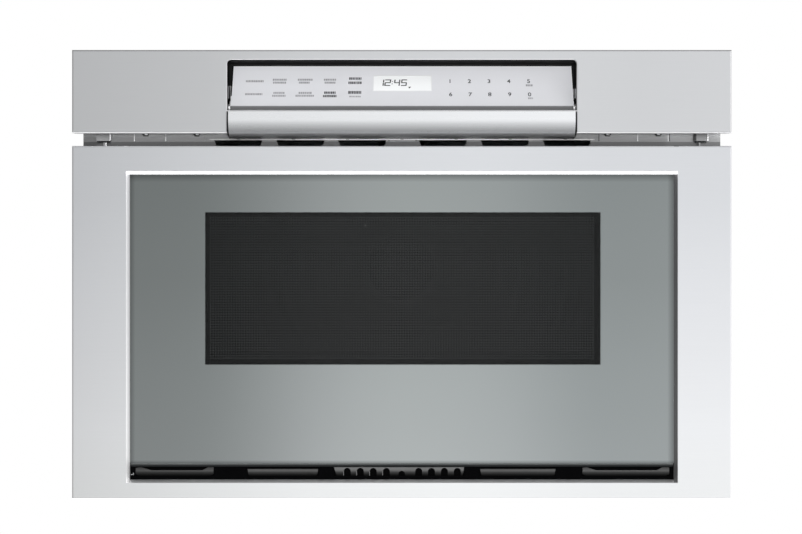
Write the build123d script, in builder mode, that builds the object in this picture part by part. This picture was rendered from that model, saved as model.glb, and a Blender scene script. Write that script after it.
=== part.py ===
from build123d import *
import math
import os

os.makedirs("parts", exist_ok=True)

# ---------------------------------------------------------------- dimensions
# +X right, +Y into the cabinet, +Z up, millimetres.
# The origin is the centre of the four cabinet screws on the rear face of the
# mounting flange.

front_y = -46.0            # front plane of the fascia and of the drawer front
half_w = 303.2             # half width of the stainless fronts
top_z = 207.0              # top of the control fascia
fascia_low = 130.6         # lower edge of the control fascia
drawer_top = 118.8         # top of the drawer front
drawer_low = -206.0        # bottom of the drawer front
sheet = 1.2                # stainless and flange sheet
edge_r = 1.4               # outer bend of the stainless fronts

flange_hw, flange_low, flange_top = 299.0, -196.0, 203.0
screw_x, screw_z, screw_r = 290.0, 95.0, 2.5

case_hw, case_hz, case_d, case_t = 276.5, 184.0, 549.0, 1.0
base_t = 1.2

cav_hw, cav_low, cav_top, cav_d, cav_t = 226.0, -98.0, 84.0, 425.0, 0.8

# window opening of the drawer front: outer and inner edge of the bevel
open_hw_out, open_top_out, open_low_out = 253.6, 95.8, -190.9
open_hw_in, open_top_in, open_low_in = 250.3, 92.3, -188.1
bevel_d = 4.0
glass_t, glass_low = 4.0, -174.5
win_hw, win_top, win_low = 182.0, 57.9, -82.4

pan_hw, pan_low, pan_top, pan_back = 221.0, -93.0, 60.0, 405.0

slide_zc = -155.5          # centre height of the telescopic slides
slide_x = 260.8            # outer face of the fixed member
travel = 380.0             # drawer travel

# cover of the control panel, open pose; u is measured back from the fascia plane
pivot_y, pivot_z = front_y + 30.5, 156.5
cut_hw, cut_top = 160.5, 198.0

# drive
rack_m, pinion_n, pinion_y = 1.5, 16, 30.0
rack_line = -150.0
pinion_r = rack_m * pinion_n / 2
pinion_z = rack_line - pinion_r

# tilt drive
tilt_m, cover_n, tilt_n = 1.0, 24, 14
tilt_z = pivot_z + tilt_m * (cover_n + tilt_n) / 2

screen_back = -37.2
panel_back = -35.7


# ------------------------------------------------------------------- helpers
def block(x0, x1, y0, y1, z0, z1, mode=Mode.ADD):
    with Locations(((x0 + x1) / 2, (y0 + y1) / 2, (z0 + z1) / 2)):
        Box(abs(x1 - x0), abs(y1 - y0), abs(z1 - z0), mode=mode)


def rod_x(x0, x1, y, z, r, mode=Mode.ADD):
    with Locations(Location(((x0 + x1) / 2, y, z), (0, 90, 0))):
        Cylinder(r, abs(x1 - x0), mode=mode)


def rod_y(x, y0, y1, z, r, mode=Mode.ADD):
    with Locations(Location((x, (y0 + y1) / 2, z), (90, 0, 0))):
        Cylinder(r, abs(y1 - y0), mode=mode)


def rod_z(x, y, z0, z1, r, mode=Mode.ADD):
    with Locations((x, y, (z0 + z1) / 2)):
        Cylinder(r, abs(z1 - z0), mode=mode)


def xz(y):
    """A sketch plane facing the front at depth y; extrusions run forward."""
    return Plane.XZ.offset(-y)


def inv(a):
    return math.tan(a) - a


def gear_outline(n, m, add, ded, slack, yc, zc, first):
    """Closed involute outline in the YZ plane with one tooth at angle first."""
    alpha = math.radians(20)
    rp = n * m / 2
    rb, ra, rf = rp * math.cos(alpha), rp + add, rp - ded
    psi = (math.pi * m / 2 - slack) / (2 * rp)

    def half(r):
        return psi + inv(alpha) - (inv(math.acos(rb / r)) if r > rb else 0.0)

    radii = [rf] + [max(rb, rf) + (ra - max(rb, rf)) * k / 5 for k in range(6)]
    if rf >= rb:
        radii = radii[1:]
    pts = []
    for k in range(n):
        c = math.radians(first) + 2 * math.pi * k / n
        side = [(r, -half(r)) for r in radii]
        side += [(r, half(r)) for r in reversed(radii)]
        pts += [
            (yc + r * math.cos(c + a), zc + r * math.sin(c + a)) for r, a in side
        ]
    return pts


def prism_x(pts, x0, x1):
    """A polygon of (y, z) points run from x0 to x1."""
    with BuildPart() as made:
        with BuildSketch(Plane.YZ.offset(x0)):
            with BuildLine():
                Polyline(*pts, close=True)
            make_face()
        extrude(amount=x1 - x0)
    return made.part


pieces = {}


def keep(name, builder):
    builder.part.label = name
    pieces[name] = builder.part


def u(v):
    """Depth measured behind the fascia plane."""
    return front_y + v


# ============================================================ CABINET, FIXED
slots_x = (-154.5, -96.5, -38.0, 38.0, 96.5, 154.5)
bracket_screws = [(s * x, 133.2) for s in (-1, 1) for x in (193.2, 240.2)]
back_screws = [
    (x, z) for x in (-262.0, 0.0, 262.0) for z in (-172.0, 172.0)
] + [(-262.0, 0.0), (262.0, 0.0)]

with BuildPart() as front_flange:
    with BuildSketch(xz(0)):
        with Locations((0, (flange_low + flange_top) / 2)):
            Rectangle(2 * flange_hw, flange_top - flange_low)
        with Locations((0, (cav_low + cav_top) / 2)):
            Rectangle(2 * cav_hw, cav_top - cav_low, mode=Mode.SUBTRACT)
        for s in (-1, 1):
            with Locations((s * 253.0, slide_zc)):
                Rectangle(20, 49, mode=Mode.SUBTRACT)
            with Locations((s * 258.0, 60.0)):
                Rectangle(8, 14, mode=Mode.SUBTRACT)
        with Locations((0, -145.5)):
            Rectangle(20, 17, mode=Mode.SUBTRACT)
        with Locations((0, (126.0 + 158.0) / 2)):
            Rectangle(2 * 162.0, 158.0 - 126.0, mode=Mode.SUBTRACT)
        with Locations((0, 118.1)):
            Rectangle(2 * 178.0, 17.2, mode=Mode.SUBTRACT)
        with Locations(*[(a * screw_x, b * screw_z) for a in (-1, 1) for b in (-1, 1)]):
            Circle(screw_r, mode=Mode.SUBTRACT)
        with Locations(*bracket_screws):
            Circle(2.0, mode=Mode.SUBTRACT)
    extrude(amount=sheet)
keep("front_flange", front_flange)

with BuildPart() as outer_case:
    with BuildSketch(xz(case_d)):
        Rectangle(2 * case_hw, 2 * case_hz)
        with Locations((0, -case_t / 2)):
            Rectangle(
                2 * (case_hw - case_t), 2 * case_hz - case_t, mode=Mode.SUBTRACT
            )
    extrude(amount=case_d)
    fillet(
        outer_case.edges().filter_by(Axis.Y).group_by(Axis.Z)[-1], 2.0
    )
keep("outer_case", outer_case)

with BuildPart() as base_plate:
    block(-(case_hw - case_t), case_hw - case_t, 0, case_d, -case_hz, -case_hz + base_t)
    # cooling slots near the rear
    for k in range(9):
        block(
            -100 + 25 * k - 8, -100 + 25 * k + 8, 400, 405,
            -case_hz - 1, -case_hz + base_t + 1, mode=Mode.SUBTRACT,
        )
keep("base_plate", base_plate)

back_y0, back_y1 = 545.3, 546.5
with BuildPart() as back_plate:
    with BuildSketch(xz(back_y1)):
        with Locations((0, (-case_hz + base_t + case_hz - case_t) / 2)):
            Rectangle(2 * (case_hw - case_t), 2 * case_hz - base_t - case_t)
        for k in range(11):
            with Locations((180, -60 + 10 * k)):
                SlotOverall(84, 5, mode=Mode.SUBTRACT)
        for k in range(7):
            with Locations((-90, -160 + 10 * k)):
                SlotOverall(84, 5, mode=Mode.SUBTRACT)
        with Locations((-225, 135)):
            Circle(9, mode=Mode.SUBTRACT)
        with Locations(*back_screws):
            Circle(2.0, mode=Mode.SUBTRACT)
    extrude(amount=back_y1 - back_y0)
keep("back_plate", back_plate)

stir_y = 285.0
lamp_x, lamp_y = -165.0, 320.0
with BuildPart() as cavity_wrapper:
    block(-cav_hw - cav_t, cav_hw + cav_t, 0, cav_d, cav_top, cav_top + cav_t)
    for s in (-1, 1):
        block(s * cav_hw, s * (cav_hw + cav_t), 0, cav_d, cav_low, cav_top)
    rod_z(0, stir_y, cav_top - 1, cav_top + 2, 38, mode=Mode.SUBTRACT)
    rod_z(lamp_x, lamp_y, cav_top - 1, cav_top + 2, 10, mode=Mode.SUBTRACT)
keep("cavity_wrapper", cavity_wrapper)

with BuildPart() as cavity_floor:
    block(
        -cav_hw - cav_t, cav_hw + cav_t, 0, cav_d, cav_low - cav_t, cav_low
    )
keep("cavity_floor", cavity_floor)

with BuildPart() as cavity_back:
    with BuildSketch(xz(cav_d + cav_t)):
        with Locations((0, (cav_low + cav_top) / 2)):
            Rectangle(2 * (cav_hw + cav_t), cav_top - cav_low + 2 * cav_t)
        with GridLocations(9, 9, 7, 5):
            with Locations((160, 20)):
                Circle(2.2, mode=Mode.SUBTRACT)
    extrude(amount=cav_t)
keep("cavity_back", cavity_back)

wg_hw, wg_y0, wg_y1 = 43.0, 225.0, 535.0
wg_z0, wg_z1 = cav_top + cav_t, cav_top + cav_t + 40.0
mag_y = 480.0
with BuildPart() as waveguide:
    block(-wg_hw, wg_hw, wg_y0, wg_y1, wg_z0, wg_z1)
    block(-wg_hw + 1, wg_hw - 1, wg_y0 + 1, wg_y1 - 1, wg_z0 + 1, wg_z1 - 1, mode=Mode.SUBTRACT)
    # open towards the cavity ceiling, closed over the magnetron
    block(-wg_hw + 1, wg_hw - 1, wg_y0 + 1, cav_d - 4, wg_z0 - 1, wg_z0 + 2, mode=Mode.SUBTRACT)
    rod_z(0, mag_y, wg_z0 - 1, wg_z0 + 2, 12, mode=Mode.SUBTRACT)
    rod_z(0, stir_y, wg_z1 - 2, wg_z1 + 1, 3.4, mode=Mode.SUBTRACT)
keep("waveguide", waveguide)

with BuildPart() as waveguide_cover:
    block(-55, 55, 230, 340, cav_top - 0.8, cav_top)
keep("waveguide_cover", waveguide_cover)

with BuildPart() as stirrer_motor:
    rod_z(0, stir_y, wg_z1, wg_z1 + 18, 24)
    block(-34, 34, stir_y - 6, stir_y + 6, wg_z1, wg_z1 + 1.5)
    rod_z(0, stir_y, wg_z1 - 1, wg_z1 + 10, 3.4, mode=Mode.SUBTRACT)
    for s in (-1, 1):
        rod_z(s * 29, stir_y, wg_z1 - 1, wg_z1 + 3, 2, mode=Mode.SUBTRACT)
keep("stirrer_motor", stirrer_motor)

with BuildPart() as stirrer_vane:
    rod_z(0, stir_y, wg_z0 + 6, wg_z1 + 8, 3.0)
    rod_z(0, stir_y, wg_z0 + 5, wg_z0 + 9, 8)
    for k in range(4):
        with Locations(Location((0, stir_y, wg_z0 + 7), (0, 0, 90 * k))):
            with Locations(Location((20, 0, 0), (28, 0, 0))):
                Box(28, 17, 1.0)
keep("stirrer_vane", stirrer_vane)

with BuildPart() as magnetron:
    block(-42, 42, mag_y - 38, mag_y + 38, 81.8, wg_z0)          # mounting flange
    block(-34, 34, mag_y - 30, mag_y + 30, 16, 81.8)             # yoke
    for k in range(9):
        z = 22 + 6 * k
        block(-35, 35, mag_y - 26, mag_y + 26, z, z + 3, mode=Mode.SUBTRACT)
    rod_z(0, mag_y, 16, 81.8, 18)                                # anode
    for k in range(9):
        z = 22.8 + 6 * k
        block(-33, 33, mag_y - 25, mag_y + 25, z, z + 1.0)       # fins
    block(-22, 22, mag_y - 24, mag_y + 24, -14, 16)              # filter box
    block(-12, 12, mag_y - 34, mag_y - 24, -8, 6)                # connector
    rod_z(0, mag_y, wg_z0, wg_z0 + 22, 7.5)                      # antenna
    rod_z(0, mag_y, wg_z0, wg_z0 + 6, 10.5)
keep("magnetron", magnetron)

with BuildPart() as hv_transformer:
    z0 = -case_hz + base_t
    block(-142, -38, 446, 534, z0, z0 + 1.5)                     # foot plate
    block(-136, -44, 452, 528, z0 + 1.5, z0 + 78)                # laminations
    block(-121, -103, 451, 529, z0 + 16, z0 + 64, mode=Mode.SUBTRACT)
    block(-77, -59, 451, 529, z0 + 16, z0 + 64, mode=Mode.SUBTRACT)
    block(-120, -60, 440, 540, z0 + 18, z0 + 38)                 # primary coil
    block(-120, -60, 440, 540, z0 + 42, z0 + 62)                 # secondary coil
    fillet(hv_transformer.edges().filter_by(Axis.Z).group_by(Axis.Y)[0], 4)
    fillet(hv_transformer.edges().filter_by(Axis.Z).group_by(Axis.Y)[-1], 4)
keep("hv_transformer", hv_transformer)

with BuildPart() as hv_capacitor:
    z0 = -case_hz + base_t
    block(-235, -180, 462, 516, z0, z0 + 1.5)                    # clamp foot
    with BuildSketch(Plane.XY.offset(z0 + 1.5)):
        with Locations((-207, 489)):
            SlotOverall(50, 32)
    extrude(amount=82)
    for s in (-1, 1):
        block(-207 + s * 10 - 3, -207 + s * 10 + 3, 488.2, 489.8, z0 + 83.5, z0 + 94)
    with BuildSketch(Plane.XY.offset(z0 + 34)):
        with Locations((-207, 489)):
            SlotOverall(52.4, 34.4)
    extrude(amount=14)
keep("hv_capacitor", hv_capacitor)

fan_x, fan_z, fan_r = 180.0, -10.0, 44.0
fan_y0, fan_y1 = 505.0, back_y0
with BuildPart() as fan_housing:
    block(fan_x - 50, fan_x + 50, fan_y0, fan_y1, fan_z - 50, fan_z + 50)
    rod_y(fan_x, fan_y0 - 1, fan_y1 + 1, fan_z, fan_r + 2, mode=Mode.SUBTRACT)
    # motor bridge on the cabinet side
    block(fan_x - 50, fan_x + 50, fan_y0 - 2, fan_y0, fan_z - 8, fan_z + 8)
    rod_y(fan_x, fan_y0 - 3, fan_y0 + 1, fan_z, 3.0, mode=Mode.SUBTRACT)
keep("fan_housing", fan_housing)

with BuildPart() as fan_motor:
    block(fan_x - 30, fan_x + 30, fan_y0 - 22, fan_y0 - 2, fan_z - 24, fan_z + 24)
    rod_y(fan_x, fan_y0 - 40, fan_y0 - 22, fan_z, 20)
    rod_y(fan_x, fan_y0 - 16, fan_y0 - 1, fan_z, 3.0, mode=Mode.SUBTRACT)
keep("fan_motor", fan_motor)

with BuildPart(Plane(origin=(fan_x, fan_y0 + 20, fan_z), z_dir=(0, 1, 0))) as cooling_fan:
    Cylinder(13, 24)
    with Locations((0, 0, -21)):
        Cylinder(2.5, 22)
    for k in range(6):
        with Locations(Location((0, 0, 0), (0, 0, 60 * k))):
            with Locations(Location((27.5, 0, 0), (36, 0, 0))):
                Box(32, 26, 1.6)
keep("cooling_fan", cooling_fan)

with BuildPart() as exhaust_grille:
    with BuildSketch(xz(-sheet)):
        with Locations((0, 117.8)):
            Rectangle(364, 19.6)
        for x in slots_x:
            with BuildLine():
                Polyline(
                    (x - 22.35, 126.4), (x + 22.35, 126.4),
                    (x + 21.0, 110.6), (x - 21.0, 110.6), close=True,
                )
            make_face(mode=Mode.SUBTRACT)
    extrude(amount=2.5)
keep("exhaust_grille", exhaust_grille)

with BuildPart() as power_board:
    block(-222, -70, 228, 300, 100.0, 101.6)
    for x in (-216, -76):
        for y in (234, 294):
            rod_z(x, y, wg_z0, 100.0, 3)
    block(-206, -166, 240, 276, 101.6, 128)      # low-voltage transformer
    block(-150, -132, 238, 250, 101.6, 117)      # relays
    block(-128, -110, 238, 250, 101.6, 117)
    rod_z(-140, 280, 101.6, 122, 6.5)            # electrolytic capacitor
    rod_z(-118, 280, 101.6, 118, 5)
    block(-98, -78, 262, 286, 101.6, 110)        # connectors
keep("power_board", power_board)

with BuildPart() as power_inlet:
    rod_y(-225, 532, back_y0, 135, 13)
    rod_y(-225, back_y0, case_d, 135, 9)
    rod_y(-225, 531, case_d + 1, 135, 4.5, mode=Mode.SUBTRACT)
keep("power_inlet", power_inlet)

with BuildPart() as cavity_lamp:
    rod_z(lamp_x, lamp_y, wg_z0, wg_z0 + 22, 13)
    rod_z(lamp_x, lamp_y, wg_z0 - 1, wg_z0 + 20, 11.5, mode=Mode.SUBTRACT)
    rod_z(lamp_x, lamp_y, wg_z0 + 4, wg_z0 + 20, 5)
    block(lamp_x - 22, lamp_x + 22, lamp_y - 8, lamp_y + 8, wg_z0 + 22, wg_z0 + 24)
keep("cavity_lamp", cavity_lamp)

with BuildPart() as interlock_switches:
    for s in (-1, 1):
        block(s * 252, s * 264, 24, 44, 48, 72)
        block(s * 264, s * 266, 0, 44, 48, 72)
        block(s * 256.1, s * 259.9, 23, 33, 58.1, 61.9, mode=Mode.SUBTRACT)
        block(s * 255, s * 261, 44, 50, 52, 54)
        block(s * 255, s * 261, 44, 50, 66, 68)
keep("interlock_switches", interlock_switches)

for side, s in (("left", -1), ("right", 1)):
    with BuildPart() as plunger:
        block(s * 256.5, s * 259.5, 20.2, 31.0, 58.5, 61.5)
        fillet(plunger.faces().sort_by(Axis.Y)[0].edges(), 0.5)
    keep("switch_plunger_" + side, plunger)

with BuildPart() as drive_bracket:
    z0 = -case_hz + base_t
    block(-12, 96, 12, 48, z0, z0 + 1.5)
    block(-12, -10, 12, 48, z0 + 1.5, -150)
    block(10, 12, 12, 48, z0 + 1.5, -150)
    rod_x(-13, -9, pinion_y, pinion_z, 4.4, mode=Mode.SUBTRACT)
    rod_x(9, 13, pinion_y, pinion_z, 4.4, mode=Mode.SUBTRACT)
keep("drive_bracket", drive_bracket)

with BuildPart() as drive_motor:
    z0 = -case_hz + base_t + 1.5
    block(12, 46, 14, 46, z0, -147)
    rod_x(46, 94, pinion_y, pinion_z - 1, 14)
    rod_x(94, 98, pinion_y, pinion_z - 1, 5)
    rod_x(11, 19, pinion_y, pinion_z, 4.4, mode=Mode.SUBTRACT)
keep("drive_motor", drive_motor)

pinion_gear = prism_x(
    gear_outline(pinion_n, rack_m, 1.4, 1.9, 0.36, pinion_y, pinion_z, 90.0), -5.5, 5.5
)
with BuildPart() as drive_pinion:
    add(pinion_gear)
    rod_x(-13, 17, pinion_y, pinion_z, 4.0)
    rod_x(-8.5, -5.5, pinion_y, pinion_z, 7.0)
    rod_x(5.5, 8.5, pinion_y, pinion_z, 7.0)
keep("drive_pinion", drive_pinion)

# telescopic slides
with BuildPart() as slide_outer_members:
    for s in (-1, 1):
        block(s * 259.4, s * slide_x, 4, 454, slide_zc - 22.5, slide_zc + 22.5)
        for t in (-1, 1):
            block(s * 248.6, s * slide_x, 4, 454, slide_zc + t * 21.1, slide_zc + t * 22.5)
keep("slide_outer_members", slide_outer_members)

for side, s in (("left", -1), ("right", 1)):
    with BuildPart() as middle:
        block(s * 254.6, s * 256.0, 10, 448, slide_zc - 20.6, slide_zc + 20.6)
        for t in (-1, 1):
            block(s * 249.4, s * 256.0, 10, 448, slide_zc + t * 16.9, slide_zc + t * 20.6)
        for y in (120, 240, 360):
            block(s * 250, s * 257, y - 15, y + 15, slide_zc - 6, slide_zc + 6, mode=Mode.SUBTRACT)
    keep("slide_middle_" + side, middle)

with BuildPart() as slide_inner_members:
    for s in (-1, 1):
        block(s * 247.4, s * 248.8, -8, 440, slide_zc - 16.4, slide_zc + 16.4)
        for t in (-1, 1):
            block(s * 247.4, s * 253.6, -8, 440, slide_zc + t * 12.6, slide_zc + t * 16.4)
keep("slide_inner_members", slide_inner_members)

with BuildPart() as slide_mounts:
    z0 = -case_hz + base_t
    for s in (-1, 1):
        block(s * slide_x, s * (slide_x + 1.5), 4, 454, z0, slide_zc + 24)
        block(s * slide_x, s * (case_hw - case_t), 4, 454, z0, z0 + 1.5)
keep("slide_mounts", slide_mounts)

# control fascia: folded stainless shell with the cutout for the cover
with BuildPart() as control_fascia:
    block(-half_w, half_w, front_y, -sheet - 1.0, fascia_low, top_z)
    fillet(control_fascia.faces().sort_by(Axis.Y)[0].edges(), edge_r)
    block(
        -half_w + sheet, half_w - sheet, front_y + sheet, 0,
        fascia_low + sheet, top_z - sheet, mode=Mode.SUBTRACT,
    )
    # the side returns end above the lower lip
    for s in (-1, 1):
        block(
            s * (half_w - sheet - 0.2), s * (half_w + 1), front_y + 3.0, 0,
            fascia_low - 1, fascia_low + 5.0, mode=Mode.SUBTRACT,
        )
    # rim that is turned in round the cutout
    block(-cut_hw - 1.2, cut_hw + 1.2, front_y + sheet, u(5.0), cut_top, cut_top + 1.2)
    for s in (-1, 1):
        block(s * cut_hw, s * (cut_hw + 1.2), front_y + sheet, u(5.0), fascia_low + sheet, cut_top + 1.2)
    with BuildSketch(xz(u(20))):
        with Locations((0, (cut_top + fascia_low - 10) / 2)):
            RectangleRounded(2 * cut_hw, cut_top - fascia_low + 10, 4.0)
    extrude(amount=30, mode=Mode.SUBTRACT)
    # the lower return is a narrow lip
    block(-half_w + sheet, half_w - sheet, u(11.0), 1, fascia_low - 1, fascia_low + 3, mode=Mode.SUBTRACT)
    rim = control_fascia.edges().filter_by(Axis.X).filter_by(
        lambda e: abs(e.center().Z - cut_top) < 0.01 and abs(e.center().Y - front_y) < 0.01
    )
    fillet(rim, 0.8)
keep("control_fascia", control_fascia)

# recess behind the cutout
rec_hw, rec_back, rec_top = 162.0, 12.0, 198.4
with BuildPart() as recess_housing:
    block(-rec_hw - 1.5, rec_hw + 1.5, u(6.0), -sheet, rec_top, rec_top + 1)
    for s in (-1, 1):
        block(s * rec_hw, s * (rec_hw + 1.5), u(6.0), -sheet, 132.0, rec_top + 1)
        block(s * 160.6, s * rec_hw, u(22), u(36), 163, 175.5)
        rod_x(s * (rec_hw - 1), s * (rec_hw + 3), pivot_y, pivot_z, 3.4, mode=Mode.SUBTRACT)
    # box behind the flange that takes the rear edge of the open cover
    block(-rec_hw, rec_hw, -sheet, rec_back + 1, 126.0, 158.0)
    block(-rec_hw + 1, rec_hw - 1, -sheet - 1, rec_back, 127.0, 157.0, mode=Mode.SUBTRACT)
    for s in (-1, 1):
        block(s * (rec_hw - 1), s * (rec_hw + 1.5), u(40.0), -sheet, 132.0, 161.0)
keep("recess_housing", recess_housing)

with BuildPart() as fascia_brackets:
    for s in (-1, 1):
        block(s * 184.9, s * 251.2, -2.4, -1.2, 125.2, 190)
        block(s * 184.9, s * 251.2, front_y + sheet, -2.4, 160, 161.2)
        block(s * 184.9, s * 251.2, front_y + sheet, front_y + sheet + 1.2, 161.2, 190)
        block(s * 221.8, s * 223.4, -3.4, -2.4, 125.2, 150)
    for x, z in bracket_screws:
        rod_y(x, -3, 0, z, 2.0, mode=Mode.SUBTRACT)
keep("fascia_brackets", fascia_brackets)

with BuildPart() as fascia_spacers:
    for s in (-1, 1):
        block(s * 273.0, s * 285.4, -12, -1.2, 125.2, 140)
        block(s * 276.6, s * 279.0, -10, -1.2, 119.6, 125.2)
keep("fascia_spacers", fascia_spacers)

with BuildPart() as panel_screws:
    for x, z in bracket_screws:
        rod_y(x, -4.6, -2.4, z, 3.2)
        rod_y(x, -2.4, 5.0, z, 1.7)
        rod_y(x, -4.7, -3.8, z, 1.2, mode=Mode.SUBTRACT)
    for x, z in back_screws:
        rod_y(x, back_y1, back_y1 + 2.2, z, 3.2)
        rod_y(x, back_y1 - 7.4, back_y1, z, 1.7)
        rod_y(x, back_y1 + 1.4, back_y1 + 2.3, z, 1.2, mode=Mode.SUBTRACT)
keep("panel_screws", panel_screws)

# ======================================================== CONTROL PANEL, COVER
nose_r = 16.0
u_nose, z_nose_top, z_under, u_end, u_ledge = -9.5, 151.0, 127.6, 53.0, 7.5
cover_hw, cap_out = 158.9, 160.0
face_hw = 158.4
face_lo, face_hi = (9.0, 156.25), (42.0, 196.2)
face_len = math.hypot(face_hi[0] - face_lo[0], face_hi[1] - face_lo[1])
su, sz = (face_hi[0] - face_lo[0]) / face_len, (face_hi[1] - face_lo[1]) / face_len

with BuildPart() as panel_cover:
    with BuildSketch(Plane.YZ.offset(-cover_hw)):
        with BuildLine():
            l1 = Polyline((u(u_ledge), z_nose_top), (u(u_nose + 1.5), z_nose_top))
            RadiusArc(l1 @ 1, (u(u_nose), z_nose_top - 1.5), -1.5)
            Line((u(u_nose), z_nose_top - 1.5), (u(u_nose), z_under + nose_r))
            RadiusArc((u(u_nose), z_under + nose_r), (u(u_nose + nose_r), z_under), -nose_r)
            Line((u(u_nose + nose_r), z_under), (u(u_end - nose_r), z_under))
            RadiusArc((u(u_end - nose_r), z_under), (u(u_end), z_under + nose_r), -nose_r)
            Line((u(u_end), z_under + nose_r), (u(u_end - 1.5), z_under + nose_r))
            RadiusArc((u(u_end - 1.5), z_under + nose_r), (u(u_end - nose_r), z_under + 1.5), nose_r - 1.5)
            Line((u(u_end - nose_r), z_under + 1.5), (u(u_nose + nose_r), z_under + 1.5))
            RadiusArc((u(u_nose + nose_r), z_under + 1.5), (u(u_nose + 1.5), z_under + nose_r), nose_r - 1.5)
            Polyline(
                (u(u_nose + 1.5), z_under + nose_r), (u(u_nose + 1.5), z_nose_top - 1.5),
                (u(u_ledge), z_nose_top - 1.5), (u(u_ledge), z_nose_top),
            )
        make_face()
    extrude(amount=2 * cover_hw)
keep("panel_cover", panel_cover)

with BuildPart() as cover_end_caps:
    for x0 in (-cap_out, cover_hw):
        with BuildSketch(Plane.YZ.offset(x0)):
            with BuildLine():
                RadiusArc((u(u_nose + 1.5), z_nose_top), (u(u_nose), z_nose_top - 1.5), -1.5)
                Line((u(u_nose), z_nose_top - 1.5), (u(u_nose), z_under + nose_r))
                RadiusArc((u(u_nose), z_under + nose_r), (u(u_nose + nose_r), z_under), -nose_r)
                Line((u(u_nose + nose_r), z_under), (u(u_end - nose_r), z_under))
                RadiusArc((u(u_end - nose_r), z_under), (u(u_end), z_under + nose_r), -nose_r)
                Polyline(
                    (u(u_end), z_under + nose_r), (pivot_y + 7.0, pivot_z + 2.5),
                    (pivot_y + 4.5, pivot_z + 5.5), (pivot_y - 4.5, pivot_z + 5.5),
                    (u(u_ledge), z_nose_top), (u(u_nose + 1.5), z_nose_top),
                )
            make_face()
        extrude(amount=cap_out - cover_hw)
    rod_x(-cap_out, -174.5, pivot_y, pivot_z, 3.0)
    rod_x(cap_out, 167.0, pivot_y, pivot_z, 3.0)
keep("cover_end_caps", cover_end_caps)

# slanted face plate: local x along the width, local y up the face
face_plane = Plane(
    origin=(0, u(face_lo[0]), face_lo[1]), x_dir=(1, 0, 0), z_dir=(0, -sz, su)
)
disp_x0, disp_x1, disp_s0, disp_s1 = -26.1, 27.2, 19.5, 38.9

with BuildPart() as control_face:
    with BuildSketch(face_plane):
        with Locations((0, face_len / 2)):
            Rectangle(2 * face_hw, face_len)
        with Locations(((disp_x0 + disp_x1) / 2, (disp_s0 + disp_s1) / 2)):
            Rectangle(disp_x1 - disp_x0, disp_s1 - disp_s0, mode=Mode.SUBTRACT)
    extrude(amount=-2.0)
keep("control_face", control_face)

with BuildPart() as display_window:
    with BuildSketch(face_plane.offset(-0.3)):
        with Locations(((disp_x0 + disp_x1) / 2, (disp_s0 + disp_s1) / 2)):
            Rectangle(disp_x1 - disp_x0, disp_s1 - disp_s0)
    extrude(amount=-1.7)
keep("display_window", display_window)


def face_point(s, depth):
    """(y, z) of a point s up the face and depth behind its surface."""
    return (u(face_lo[0] + su * s + sz * depth), face_lo[1] + sz * s - su * depth)


carrier_body = prism_x(
    [
        (u(face_lo[0]), 150.5), (u(face_lo[0]), face_lo[1]), face_point(0, 2),
        face_point(46, 2), face_point(46, 4.6), (u(37.4), 184.0), (-sheet, 184.0),
        (-sheet, 181.6), (u(35.4), 181.6), face_point(4, 4.6), (u(14.5), 150.5),
    ],
    -face_hw, face_hw,
)
with BuildPart() as face_carrier:
    add(carrier_body)
keep("face_carrier", face_carrier)

cover_gear_body = prism_x(
    gear_outline(cover_n, tilt_m, 0.9, 1.25, 0.22, pivot_y, pivot_z, 90.0), -172.5, -166.5
)
with BuildPart() as cover_gear:
    add(cover_gear_body)
    rod_x(-173.5, -165.0, pivot_y, pivot_z, 6.0)
    rod_x(-180, -160, pivot_y, pivot_z, 3.0, mode=Mode.SUBTRACT)
keep("cover_gear", cover_gear)

tilt_gear_body = prism_x(
    gear_outline(tilt_n, tilt_m, 0.9, 1.25, 0.22, pivot_y, tilt_z, 270.0 + 180.0 / tilt_n),
    -172.0, -167.0,
)
with BuildPart() as tilt_gear:
    add(tilt_gear_body)
    rod_x(-182.0, -166.0, pivot_y, tilt_z, 2.5)
keep("tilt_gear", tilt_gear)

with BuildPart() as tilt_motor:
    rod_x(-176.0, -184.9, pivot_y, tilt_z, 12.0)
    block(-180.0, -178.4, -28.0, -sheet, tilt_z - 14, tilt_z + 14)
    rod_x(-175.0, -183.4, pivot_y, tilt_z, 2.9, mode=Mode.SUBTRACT)
keep("tilt_motor", tilt_motor)

# ==================================================================== DRAWER
with BuildPart() as drawer_frame:
    block(-half_w, half_w, front_y, -6, drawer_low, drawer_top)
    fillet(drawer_frame.faces().sort_by(Axis.Y)[0].edges(), edge_r)
    block(
        -half_w + sheet, half_w - sheet, front_y + sheet, 0,
        drawer_low + sheet, drawer_top - sheet, mode=Mode.SUBTRACT,
    )
    block(
        -open_hw_out - 3, open_hw_out + 3, front_y + sheet, front_y + bevel_d,
        open_low_out - 3, open_top_out + 3,
    )
    with BuildSketch(xz(front_y - 1.0)):
        w = open_hw_out + (open_hw_out - open_hw_in) / bevel_d
        a = open_top_out + (open_top_out - open_top_in) / bevel_d
        b = open_low_out + (open_low_out - open_low_in) / bevel_d
        with Locations((0, (a + b) / 2)):
            Rectangle(2 * w, a - b)
    with BuildSketch(xz(front_y + bevel_d + 1.0)):
        w = open_hw_in - (open_hw_out - open_hw_in) / bevel_d
        a = open_top_in - (open_top_out - open_top_in) / bevel_d
        b = open_low_in - (open_low_out - open_low_in) / bevel_d
        with Locations((0, (a + b) / 2)):
            Rectangle(2 * w, a - b)
    loft(mode=Mode.SUBTRACT)
keep("drawer_frame", drawer_frame)

glass_y0, glass_y1 = front_y + bevel_d, front_y + bevel_d + glass_t
with BuildPart() as front_glass:
    block(-255.5, 255.5, glass_y0, glass_y1, glass_low, 97.5)
    chamfer(
        front_glass.faces().sort_by(Axis.Y)[0].edges().sort_by(Axis.Z)[0], 1.4, 3.2
    )
keep("front_glass", front_glass)

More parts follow.
